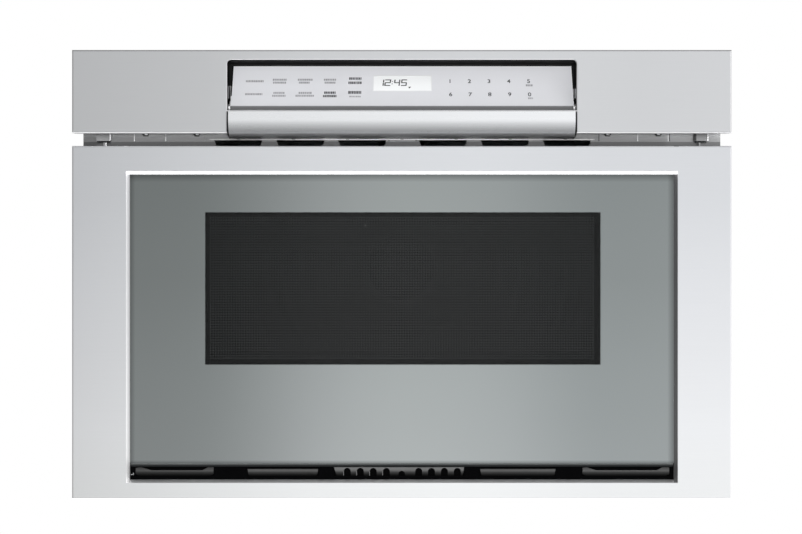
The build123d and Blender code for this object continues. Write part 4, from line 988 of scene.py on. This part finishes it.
# ------------------------------------------------ gap above the drawer front
LIP_HW = 181.2
bm = bmesh.new()
prism_y(bm, [
    (-LIP_HW, 127.35), (-LIP_HW + 2.5, 126.5), (LIP_HW - 2.5, 126.5), (LIP_HW, 127.35),
    (LIP_HW - 1.0, 127.55), (-LIP_HW + 1.0, 127.55),
][::-1], -4.35, -3.7)
from_bmesh("exhaust_lip", bm, "lip", ROOT)
# painted shade: dark notches in the lip and beside the tab
boxes("lip_notches", [
    (x - 1.5, x + 1.5, -4.6, -4.35, 127.05, 127.75) for x in (-153.2, -101.5, -50.9, 0.1, 50.9, 101.5, 153.2)
] + [(x - 0.8, x + 0.8, -4.6, -4.35, 125.7, 126.5) for x in (-12.3, 13.6)], "painted_shade", ROOT)
boxes("lip_tab", [(-11.3, 12.6, -4.25, -3.7, 125.2, 126.5)], "mid", ROOT, 0.1)
boxes("lip_tab_edge", [(-11.3, 12.6, -4.35, -4.25, 124.8, 125.3)], "rim", ROOT)
# slanted ends of the exhaust slots, and painted shade in some of their upper right corners
ends_l, corner_shade = bmesh.new(), bmesh.new()
for c, lt, lb, rt, rb in ((-154.5, 1.0, 2.4, -1.1, 0.0), (-96.5, 1.4, 2.8, -1.5, -0.3), (-38.0, 0.6, 2.2, -0.9, 0.6),
                          (38.0, 0.2, 2.1, -0.4, 0.9), (96.5, 0.1, 1.4, -0.1, 1.3), (154.5, 0.2, 1.9, -0.1, 1.2)):
    e0, e1 = c - 22.35, c + 22.35
    prism_y(ends_l, [(e0 - 0.6, 126.2), (e0 + lt, 126.2), (e0 + lb + 0.4, 121.2), (e0 + lb + 2.6, 115.0), (e0 - 0.6, 115.0)],
            -3.66, -1.4)
    if rb > 0:
        prism_y(ends_l, [(e1 + 0.6, 123.6), (e1 + 0.6, 115.0), (e1 - rb - 2.6, 115.0), (e1 - rb - 0.4, 121.2), (e1 - 0.2, 123.6)],
                -3.66, -1.4)
    if rt < 0:
        prism_y(corner_shade, [(e1 - 0.4, 126.3), (e1 - 0.4, 122.4), (e1 - rt * 0.35, 122.4), (e1 - rt, 126.3)], -3.76, -3.64)
from_bmesh("slot_ends", ends_l, "flange", ROOT)
from_bmesh("slot_corner_shade", corner_shade, "painted_shade", ROOT)
# painted highlights: thin bright strips on edges in the gap
edges = [
    (-251.3, -250.7, -2.9, -2.45, 125.4, 133.0),
    (-221.6, -221.2, -3.6, -3.45, 125.4, 133.0), (249.7, 250.2, -2.9, -2.45, 125.4, 133.0),
    (221.0, 221.5, -3.6, -3.45, 125.4, 133.0), (-273.0, -272.0, -12.0, -3.0, 125.6, 134.0),
    (285.4, 286.5, -12.0, -3.0, 125.6, 134.0), (-277.0, -276.0, -10.6, -10.0, 119.6, 124.9),
]
boxes("gap_edge_highlights", edges, "bright", ROOT)
# a dimmer painted highlight on the left edge
boxes("gap_edge_left", [(-185.0, -184.5, -3.0, -2.45, 125.4, 131.0)], "mid", ROOT)
boxes("gap_shadows", [
    (250.9, 251.5, -2.9, -2.45, 125.4, 133.0), (272.7, 275.1, -12.1, -11.9, 125.4, 134.0),
    (184.6, 185.2, -3.0, -2.45, 125.4, 133.0), (276.2, 277.6, -10.4, -10.0, 119.6, 124.9),
], "dark_grey", ROOT)
# painted shade: dark strips at the feet of the spacers
boxes("gap_foot_shadows", [
    (-284.6, -272.6, -12.1, -11.2, 123.9, 125.2), (273.2, 284.4, -12.1, -11.2, 123.9, 125.2),
], "foot_b", ROOT)
# painted shade and painted highlights on the screw heads that show below the fascia
head_shade, glints = [], []
for x in (-240.1, -192.2, 192.7, 240.1):
    head_shade.append((x - 3.2, x + 3.2, -4.85, -4.62, 131.0, 133.2))
    head_shade.append((x - 2.3, x + 2.5, -4.85, -4.62, 129.9, 131.0))
    glints.append((x - 0.9, x + 2.0, -5.0, -4.85, 131.1, 132.9))
boxes("head_shadows", head_shade, "dark_grey", ROOT)
boxes("head_glints", glints, "bright", ROOT, 0.08)

# ----------------------------------------------------------- slanted key panel
FACE_LO, FACE_HI = (9.0, 156.25), (42.0, 196.2)
FL = math.hypot(FACE_HI[0] - FACE_LO[0], FACE_HI[1] - FACE_LO[1])
SU, SZ = (FACE_HI[0] - FACE_LO[0]) / FL, (FACE_HI[1] - FACE_LO[1]) / FL


def on_face(x, s, lift=0.0):
    """A point x across and s up the key panel, lift above its surface, in mm."""
    return Vector((x, FRONT_Y + FACE_LO[0] + SU * s - SZ * lift, FACE_LO[1] + SZ * s + SU * lift))


def face_bars(name, rects, mat, lift, thick, body=ROOT, slant=0.0):
    """Thin printed bars on the key panel: (x0, x1, s0, s1) each."""
    verts, faces = [], []
    for x0, x1, s0, s1 in rects:
        k = len(verts)
        for h in (lift, lift + thick):
            for x, s in ((x0, s0), (x1, s0), (x1, s1), (x0, s1)):
                verts.append(tuple(on_face(x + slant * s, s, h)))
        faces += [(k + 3, k + 2, k + 1, k), (k + 4, k + 5, k + 6, k + 7)]
        for i in range(4):
            j = (i + 1) % 4
            faces.append((k + i, k + j, k + 4 + j, k + 4 + i))
    return mesh_object(name, verts, faces, mat, body)


def px_x(px):
    """Front-view column to x on the key panel."""
    return (px - 401.85) * 0.9198 * 1.0125 - 0.0


def px_s(py):
    """Front-view row to the distance up the key panel."""
    return (106.0 - py) / 40.0 * FL


def text_on_face(name, body_text, px, py, size, bold=0.0):
    cu = bpy.data.curves.new(name, "FONT")
    cu.body = body_text
    cu.size = size * MM
    cu.align_x = "CENTER"
    cu.align_y = "CENTER"
    cu.extrude = 0.00003
    cu.offset = bold * MM
    o = bpy.data.objects.new(name, cu)
    bpy.context.scene.collection.objects.link(o)
    rx = Vector((1, 0, 0))
    ry = Vector((0, SU, SZ))
    rz = rx.cross(ry)
    m = Matrix((rx, ry, rz)).transposed().to_4x4()
    p = on_face(px_x(px), px_s(py), 0.09) * MM
    o.matrix_world = Matrix.Translation(p) @ m
    bpy.context.view_layer.update()
    dg = bpy.context.evaluated_depsgraph_get()
    me = bpy.data.meshes.new_from_object(o.evaluated_get(dg))
    me.transform(o.matrix_world)
    bpy.data.objects.remove(o)
    bpy.data.curves.remove(cu)
    bm = bmesh.new()
    bm.from_mesh(me)
    bmesh.ops.remove_doubles(bm, verts=bm.verts, dist=1e-7)
    bm.to_mesh(me)
    bm.free()
    me.materials.clear()
    me.materials.append(M["ink"])
    t = bpy.data.objects.new(name, me)
    bpy.context.scene.collection.objects.link(t)
    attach(t, ROOT)
    return t


cols = (450.0, 469.4, 489.0, 508.8, 528.6)
for i in range(5):
    text_on_face("digit_%d" % (i + 1), str(i + 1), cols[i], 81.85, 6.6, 0.10)
    text_on_face("digit_%d" % ((i + 6) % 10), str((i + 6) % 10), cols[i] + 0.4, 94.95, 6.6, 0.10)


# generic label bars where the real panel has words
def label(px0, px1, py0, py1, seed):
    """A row of short strokes that stands for a word, with no letters in it."""
    rnd = random.Random(seed)
    rects = []
    x = px_x(px0)
    end = px_x(px1)
    s0, s1 = px_s(py1), px_s(py0)
    while x < end - 0.5:
        w = min(rnd.uniform(0.9, 1.7), end - x)
        rects.append((x, x + w, s0, s1))
        x += w + 0.35
    return rects


light, heavy = [], []
for px0, px1, py0, py1 in (
    (245.8, 263.8, 80.7, 82.6), (245.8, 263.0, 93.6, 95.5),
    (272.7, 287.3, 79.2, 81.1), (273.0, 286.4, 82.1, 84.0),
    (273.9, 285.5, 92.4, 94.2), (272.8, 286.1, 95.2, 97.1),
    (297.7, 312.6, 79.2, 81.1), (298.9, 309.8, 82.1, 84.0),
    (299.0, 312.5, 92.4, 94.2), (296.0, 314.3, 95.2, 97.1),
    (323.8, 336.6, 79.2, 81.1), (324.6, 335.8, 82.1, 84.0),
    (349.5, 361.5, 96.2, 97.6), (525.7, 532.8, 84.8, 86.7), (527.3, 532.3, 97.8, 99.4),
):
    light += label(px0, px1, py0, py1, int(px0 * 7 + py0))
for px0, px1, py0, py1 in (
    (324.4, 335.9, 91.9, 94.2), (323.4, 336.8, 95.3, 97.5),
    (349.0, 361.8, 77.8, 80.2), (348.4, 362.2, 82.0, 84.4),
    (348.4, 362.0, 91.4, 94.2),
):
    heavy += label(px0, px1, py0, py1, int(px0 * 5 + py0))
face_bars("label_strokes_light", light, "pale_ink", 0.02, 0.05)
face_bars("label_strokes_heavy", heavy, "mid_ink", 0.02, 0.05)

bm = bmesh.new()
for s_ in (-1, 1):
    rod(bm, (s_ * 158.7, -33.2, 154.9), (s_ * 160.1, -33.2, 154.9), 1.25)
from_bmesh("cover_pins", bm, "bright", "cover", smooth=False)

# painted shade: a black bar along the top and the left edge of the key panel
face_bars("panel_head", [(-158.3, 158.3, 51.2, 51.8), (-158.4, -157.6, 12.5, 51.2)], "painted_shade", 0.02, 0.05)
face_bars("panel_edge", [(158.35, 158.8, 0.3, 51.6)], "key", -0.55, 0.57)
# painted light: forward-facing grey plates where the pads' faces lie in shade
boxes("pad_left", [(-161.9, -159.2, -9.4, -9.0, 165.3, 176.8)], "pad_l", ROOT)
boxes("pad_right", [(159.3, 161.9, -9.4, -9.0, 165.2, 174.1)], "pad_r", ROOT)
# painted shade: strips along the foot of the glass that grow darker downwards
boxes("glass_foot", [(-249.8, 249.8, -41.95, -41.1, -174.75, -173.95)], "foot_a", "drawer")
boxes("glass_edge", [(-249.7, 249.7, -42.10, -41.8, -173.90, -173.3)], "foot_c", "drawer")
boxes("glass_foot_low", [(-249.8, 249.8, -41.95, -41.1, -176.2, -174.75)], "foot_b", "drawer")

# ------------------------------------------------------------ sheet-metal case
CASE_X, CASE_Z, BACK_Y = 276.5, 184.0, 546.5


def on_top(a, b, h):
    return (a, b, CASE_Z + h)


def on_base(a, b, h):
    return (a, b, -CASE_Z - h)


def on_right(a, b, h):
    return (CASE_X + h, a, b)


def on_left(a, b, h):
    return (-CASE_X - h, a, b)


def on_back(a, b, h):
    return (a, BACK_Y + h, b)


press, dark, heads, slots = bmesh.new(), bmesh.new(), bmesh.new(), bmesh.new()
# roof: four long ribs between a rounded frame line
for a in (-165, -55, 55, 165):
    rib(press, on_top, a - 6, a + 6, 85, 455, 1.7)
bead(press, on_top, -250, 250, 40, 505, 26, 7, 1.3)
# floor sheet
for a in (-200, 200):
    rib(press, on_base, a - 6, a + 6, 60, 470, 1.7)
# sides: two ribs, louvres near the rear, a seam at the rear and one along the bottom
for put in (on_right, on_left):
    for b in (-112, 108):
        rib(press, put, 60, 505, b - 6, b + 6, 1.7)
    for k in range(9):
        louvre(press, dark, put, 400, 448, -64 + 15 * k, -57 + 15 * k, 2.6)
        louvre(press, dark, put, 458, 506, -64 + 15 * k, -57 + 15 * k, 2.6)
    block_on(press, put, 536.5, 548.6, -183.6, 181.0, -0.3, 0.7)
    block_on(press, put, 2.5, 536.0, -183.8, -171.5, -0.3, 0.7)
    for a, b in ((542.5, -150), (542.5, 0), (542.5, 150), (40, -177.6), (200, -177.6), (360, -177.6), (510, -177.6)):
        cross_screw(heads, slots, lambda x, y, h, put=put: put(x, y, h + 0.7), a, b, 2.9, 1.5)
# a folded strip along the rear of the roof
block_on(press, on_top, -274.0, 274.0, 536.5, 548.6, -0.3, 0.7)
for a in (-230, -77, 77, 230):
    cross_screw(heads, slots, lambda x, y, h: on_top(x, y, h + 0.7), a, 542.5, 2.9, 1.5)
from_bmesh("case_pressings", press, "galv", ROOT)
# rear sheet: a hood above each slot, frame lines and a blank knock-out
rear = bmesh.new()
for k in range(11):
    z = -60 + 10 * k
    block_on(rear, on_back, 180 - 40, 180 + 40, z + 2.6, z + 3.6, -0.3, 1.9)
for k in range(7):
    z = -160 + 10 * k
    block_on(rear, on_back, -90 - 40, -90 + 40, z + 2.6, z + 3.6, -0.3, 1.9)
bead(rear, on_back, 128, 232, -74, 54, 9, 4.5, 1.2)
bead(rear, on_back, -142, -38, -174, -86, 9, 4.5, 1.2)
bead(rear, on_back, -205, 85, -40, 120, 22, 6, 1.4)
rib(rear, on_back, -175, 55, 34, 44, 1.5)
bead(rear, on_back, -247, -203, 113, 157, 14, 3.5, 1.0)
from_bmesh("back_pressings", rear, "galv", ROOT)
from_bmesh("case_screws", heads, "screw", ROOT)
# painted shade in the screw recesses and louvre mouths
from_bmesh("screw_recess_shade", slots, "painted_shade", ROOT)
from_bmesh("louvre_mouth_shade", dark, "painted_shade", ROOT)
# collar with a hexagon round the supply gland
gl = bmesh.new()
hexa = [(-225 + 13.5 * math.cos(math.pi * i / 3), 135 + 13.5 * math.sin(math.pi * i / 3)) for i in range(6)]
hexb = [(-225 + 12.6 * math.cos(math.pi * i / 3), 135 + 12.6 * math.sin(math.pi * i / 3)) for i in range(6)]
inner = [(-225 + 9.4 * math.cos(math.pi * i / 3), 135 + 9.4 * math.sin(math.pi * i / 3)) for i in range(6)]
rings = [[gl.verts.new(Vector(on_back(a, b, h)) * MM) for a, b in pts]
         for pts, h in ((hexa, -0.2), (hexa, 1.6), (hexb, 2.3), (inner, 2.3), (inner, -0.2))]
for r0, r1 in zip(rings, rings[1:] + rings[:1]):
    for i in range(6):
        gl.faces.new((r0[i], r0[(i + 1) % 6], r1[(i + 1) % 6], r1[i]))
from_bmesh("gland_nut", gl, "black", ROOT)

# ------------------------------------------------------------- drawer interior
PAN_X, PAN_Y1, PAN_Z0, PAN_Z1 = 220.0, 404.0, -92.0, 60.0
pan = bmesh.new()


def pan_wall(s_):
    return lambda a, b, h: (s_ * (PAN_X - h), a, b)


def pan_rear(a, b, h):
    return (a, PAN_Y1 - h, b)


for s_ in (-1, 1):
    for b in (38, -62):
        rib(pan, pan_wall(s_), 0, 372, b - 2.5, b + 2.5, 1.0)
    # rounded rear corner
    cx, cy, r = s_ * (PAN_X - 16), PAN_Y1 - 16, 16.0
    ring = [(s_ * PAN_X + s_ * 0.2, PAN_Y1 + 0.2), (s_ * PAN_X + s_ * 0.2, cy)]
    ring += [(cx + s_ * r * math.cos(math.pi / 2 * i / 12), cy + r * math.sin(math.pi / 2 * i / 12)) for i in range(13)]
    ring += [(cx, PAN_Y1 + 0.2)]
    lo = [pan.verts.new((a * MM, b * MM, -86.8 * MM)) for a, b in ring]
    hi = [pan.verts.new((a * MM, b * MM, 59.0 * MM)) for a, b in ring]
    pan.faces.new(lo)
    pan.faces.new(hi)
    for i in range(len(ring)):
        j = (i + 1) % len(ring)
        pan.faces.new((lo[i], lo[j], hi[j], hi[i]))
for b in (38, -62):
    rib(pan, pan_rear, -190, 190, b - 2.5, b + 2.5, 1.0)
from_bmesh("pan_pressings", pan, "pan", "drawer")
rim = bmesh.new()
for s_ in (-1, 1):
    rod(rim, (s_ * 221.5, -29.5, 59.6), (s_ * 221.5, 405.5, 59.6), 1.25, 12)
rod(rim, (-221.5, 405.5, 59.6), (221.5, 405.5, 59.6), 1.25, 12)
from_bmesh("pan_rolled_rim", rim, "zinc", "drawer")
# painted shade: black discs stand for the vent holes in the pan walls
holes = bmesh.new()
for i in range(9):
    for k in range(5):
        for s_ in (-1, 1):
            a, b = 312 + 6.5 * i, -14 + 6.5 * k
            rod(holes, (s_ * (PAN_X + 0.3), a, b), (s_ * (PAN_X - 0.06), a, b), 1.7, 12)
from_bmesh("pan_vent_hole_shade", holes, "painted_shade", "drawer")
# marks on the ceramic shelf
shelf = bmesh.new()
bead(shelf, lambda a, b, h: (a, b, -88.98 + h), -150, 150, 60, 320, 30, 1.6, 0.12)
bead(shelf, lambda a, b, h: (a, b, -88.98 + h), -90, 90, 115, 265, 30, 1.2, 0.12)
from_bmesh("shelf_lines", shelf, "mid", "drawer")
# seal line round the inner side of the door
seal = bmesh.new()
bead(seal, lambda a, b, h: (a, -2.2 + h, b), -240, 240, -112, 98, 9, 5, 0.55)
from_bmesh("door_seal_line", seal, "choke", "drawer")
# slides: rivets in the inner members, and their slots drawn as painted shade
riv, slot_shade = bmesh.new(), bmesh.new()
for s_ in (-1, 1):
    for a in (14, 96, 218, 340, 424):
        rod(riv, (s_ * 248.7, a, -155.5), (s_ * 249.7, a, -155.5), 3.6, 20, 2.8)
    for a in (55, 157, 279, 382):
        add_box(slot_shade, (min(s_ * 248.6, s_ * 248.86), a - 14, -158.5), (max(s_ * 248.6, s_ * 248.86), a + 14, -152.5))
from_bmesh("slide_rivets", riv, "screw", "drawer")
from_bmesh("slide_slot_shade", slot_shade, "painted_shade", "drawer")

# display: rim and slanted seven-segment digits
DX0, DX1, DS0, DS1 = -26.1, 27.2, 19.5, 38.9
face_bars(
    "display_rim",
    [(DX0 - 0.7, DX1 + 0.7, DS0 - 0.7, DS0), (DX0 - 0.7, DX1 + 0.7, DS1, DS1 + 0.7),
     (DX0 - 0.7, DX0, DS0, DS1), (DX1, DX1 + 0.7, DS0, DS1)],
    "pale_rim", 0.0, 0.10,
)
face_bars("display_head", [(DX0 - 0.7, DX1 + 0.7, DS1 - 1.1, DS1 + 0.75)], "pale_rim", 0.02, 0.12)
SEG = {"0": "abcdef", "1": "bc", "2": "abged", "3": "abgcd", "4": "fgbc", "5": "afgcd",
       "6": "afgedc", "7": "abc", "8": "abcdefg", "9": "abcdfg"}


def seg_digit(ch, x, s, w, h, t):
    """Bars of one seven-segment figure, lower left corner at (x, s)."""
    g = 0.18
    m = s + h / 2
    r = {
        "a": (x + g, x + w - g, s + h - t, s + h), "d": (x + g, x + w - g, s, s + t),
        "g": (x + g, x + w - g, m - t / 2, m + t / 2),
        "f": (x, x + t, m + g, s + h - g), "b": (x + w - t, x + w, m + g, s + h - g),
        "e": (x, x + t, s + g, m - g), "c": (x + w - t, x + w, s + g, m - g),
    }
    return [r[c] for c in SEG[ch]]


def px_dx(px_count):
    return px_x(px_count) - px_x(0.0)


dh, dt = 8.3, 1.12
s_low = px_s(86.1)
bars = []
for ch, left, right in (("1", 380.4, 383.6), ("2", 384.2, 390.4), ("4", 393.6, 399.6), ("5", 400.6, 406.5)):
    x0, x1 = px_x(left), px_x(right)
    bars += seg_digit(ch, x0, s_low, x1 - x0, dh, dt)
cx_ = px_x(391.9)
bars += [(cx_ - 0.5, cx_ + 0.4, s_low + 2.2, s_low + 3.1), (cx_ - 0.4, cx_ + 0.5, s_low + 5.2, s_low + 6.1)]
slant = 0.10
bars = [(a - slant * s_low, b - slant * s_low, c, d) for a, b, c, d in bars]
tri_x, tri_s = px_x(409.5), px_s(87.9)
tri = []
for k in range(5):
    w = 1.3 * (k + 1) / 5
    tri.append((tri_x - w - slant * tri_s, tri_x + w - slant * tri_s, tri_s + 0.42 * k - 0.9, tri_s + 0.42 * (k + 1) - 0.9))
bars += tri
face_bars("display_figures", bars, "ink", -0.26, 0.05, slant=slant)

# --------------------------------------------------------------- stage, lights
def world():
    w = bpy.data.worlds.new("studio")
    bpy.context.scene.world = w
    w.use_nodes = True
    nt = w.node_tree
    nt.nodes.clear()
    out = nt.nodes.new("ShaderNodeOutputWorld")
    tc = nt.nodes.new("ShaderNodeTexCoord")
    sep = nt.nodes.new("ShaderNodeSeparateXYZ")
    nt.links.new(tc.outputs["Generated"], sep.inputs["Vector"])
    # a bright soft panel ahead, a dark flag at the left, a brighter wall at the right
    rx = ramp(nt, rescale(nt, sep.outputs["X"], -1, 1), [
        (0.0, (0.34, 0.34, 0.34)), (0.20, (0.44, 0.44, 0.44)), (0.34, (0.50, 0.50, 0.50)),
        (0.42, (0.56, 0.57, 0.57)), (0.458, (0.58, 0.60, 0.60)), (0.482, (0.98, 0.99, 1.0)),
        (0.50, (1.10, 1.12, 1.12)), (0.524, (1.04, 1.06, 1.07)), (0.542, (0.82, 0.85, 0.86)),
        (0.60, (0.92, 0.93, 0.94)), (0.75, (1.02, 1.02, 1.02)), (1.0, (1.02, 1.02, 1.02)),
    ])
    rz = ramp(nt, rescale(nt, sep.outputs["Z"], -1, 1), grey(
        (0.0, 0.165), (0.02, 0.20), (0.08, 0.26), (0.165, 0.315), (0.26, 0.37), (0.37, 0.455),
        (0.44, 0.51), (0.50, 0.53), (0.525, 0.52), (0.55, 0.50), (0.60, 0.46), (0.68, 0.40),
        (0.80, 0.32), (1.0, 0.24),
    ))
    mul = nt.nodes.new("ShaderNodeMix")
    mul.data_type = "RGBA"
    mul.blend_type = "MULTIPLY"
    mul.inputs["Factor"].default_value = 1.0
    nt.links.new(rx.outputs["Color"], mul.inputs[6])
    nt.links.new(rz.outputs["Color"], mul.inputs[7])
    bg = nt.nodes.new("ShaderNodeBackground")
    bg.inputs["Strength"].default_value = 2.3
    nt.links.new(mul.outputs[2], bg.inputs["Color"])
    white = nt.nodes.new("ShaderNodeBackground")
    white.inputs["Color"].default_value = (1, 1, 1, 1)
    white.inputs["Strength"].default_value = 1.0
    lp = nt.nodes.new("ShaderNodeLightPath")
    mix = nt.nodes.new("ShaderNodeMixShader")
    nt.links.new(lp.outputs["Is Camera Ray"], mix.inputs["Fac"])
    nt.links.new(bg.outputs["Background"], mix.inputs[1])
    nt.links.new(white.outputs["Background"], mix.inputs[2])
    nt.links.new(mix.outputs["Shader"], out.inputs["Surface"])


def rescale(nt, sock, lo, hi):
    r = nt.nodes.new("ShaderNodeMapRange")
    r.inputs["From Min"].default_value = lo
    r.inputs["From Max"].default_value = hi
    nt.links.new(sock, r.inputs["Value"])
    return r.outputs["Result"]


world()

floor_me = bpy.data.meshes.new("floor")
floor_me.from_pydata([(-9, -9, 0), (9, -9, 0), (9, 9, 0), (-9, 9, 0)], [], [(0, 1, 2, 3)])
floor = bpy.data.objects.new("floor", floor_me)
floor.location = (0, 0, -0.2062)
bpy.context.scene.collection.objects.link(floor)
fm, fnt, fout = new_mat("pale_floor")
fb = principled(fnt, fout, 0.8, 0.0)
fn = tex_noise(fnt, (1, 1, 1), 2.0, 2.0)
fr = ramp(fnt, fn.outputs["Fac"], [(0.3, (0.93, 0.93, 0.93)), (0.7, (0.95, 0.95, 0.95))])
fnt.links.new(fr.outputs["Color"], fb.inputs["Base Color"])
fe = fnt.nodes.new("ShaderNodeEmission")
fe.inputs["Color"].default_value = (1, 1, 1, 1)
fe.inputs["Strength"].default_value = 1.0
flp = fnt.nodes.new("ShaderNodeLightPath")
fmix = fnt.nodes.new("ShaderNodeMixShader")
fnt.links.new(flp.outputs["Is Camera Ray"], fmix.inputs["Fac"])
fnt.links.new(fb.outputs["BSDF"], fmix.inputs[1])
fnt.links.new(fe.outputs["Emission"], fmix.inputs[2])
fnt.links.new(fmix.outputs["Shader"], fout.inputs["Surface"])
floor_me.materials.append(fm)
floor.visible_glossy = False


def area(name, loc, target, size, power, size_y=None):
    li = bpy.data.lights.new(name, "AREA")
    li.shape = "RECTANGLE"
    li.size = size
    li.size_y = size_y or size
    li.energy = power
    o = bpy.data.objects.new(name, li)
    o.location = loc
    d = Vector(target) - Vector(loc)
    o.rotation_euler = d.to_track_quat("-Z", "Y").to_euler()
    o.visible_camera = False
    bpy.context.scene.collection.objects.link(o)
    return o


area("key_right", (2.2, -2.4, 1.3), (0, 0, 0), 1.6, 10)
area("top_soft", (0, -0.3, 2.6), (0, 0.1, 0), 2.4, 10)
fill = area("front_fill", (0.0, -2.7, 0.16), (0, -0.046, 0.14), 0.5, 70)
fill.visible_glossy = False

cam = bpy.data.cameras.new("camera")
cam.sensor_width = 36.0
cam.lens = 100.15
cam.clip_end = 50
co = bpy.data.objects.new("camera", cam)
co.location = (-0.0008, -0.046 - 2.05, 0.0075)
co.rotation_euler = (math.radians(90), 0, 0)
bpy.context.scene.collection.objects.link(co)
bpy.context.scene.camera = co
bpy.context.scene.view_settings.view_transform = "Standard"
bpy.context.scene.view_settings.look = "None"
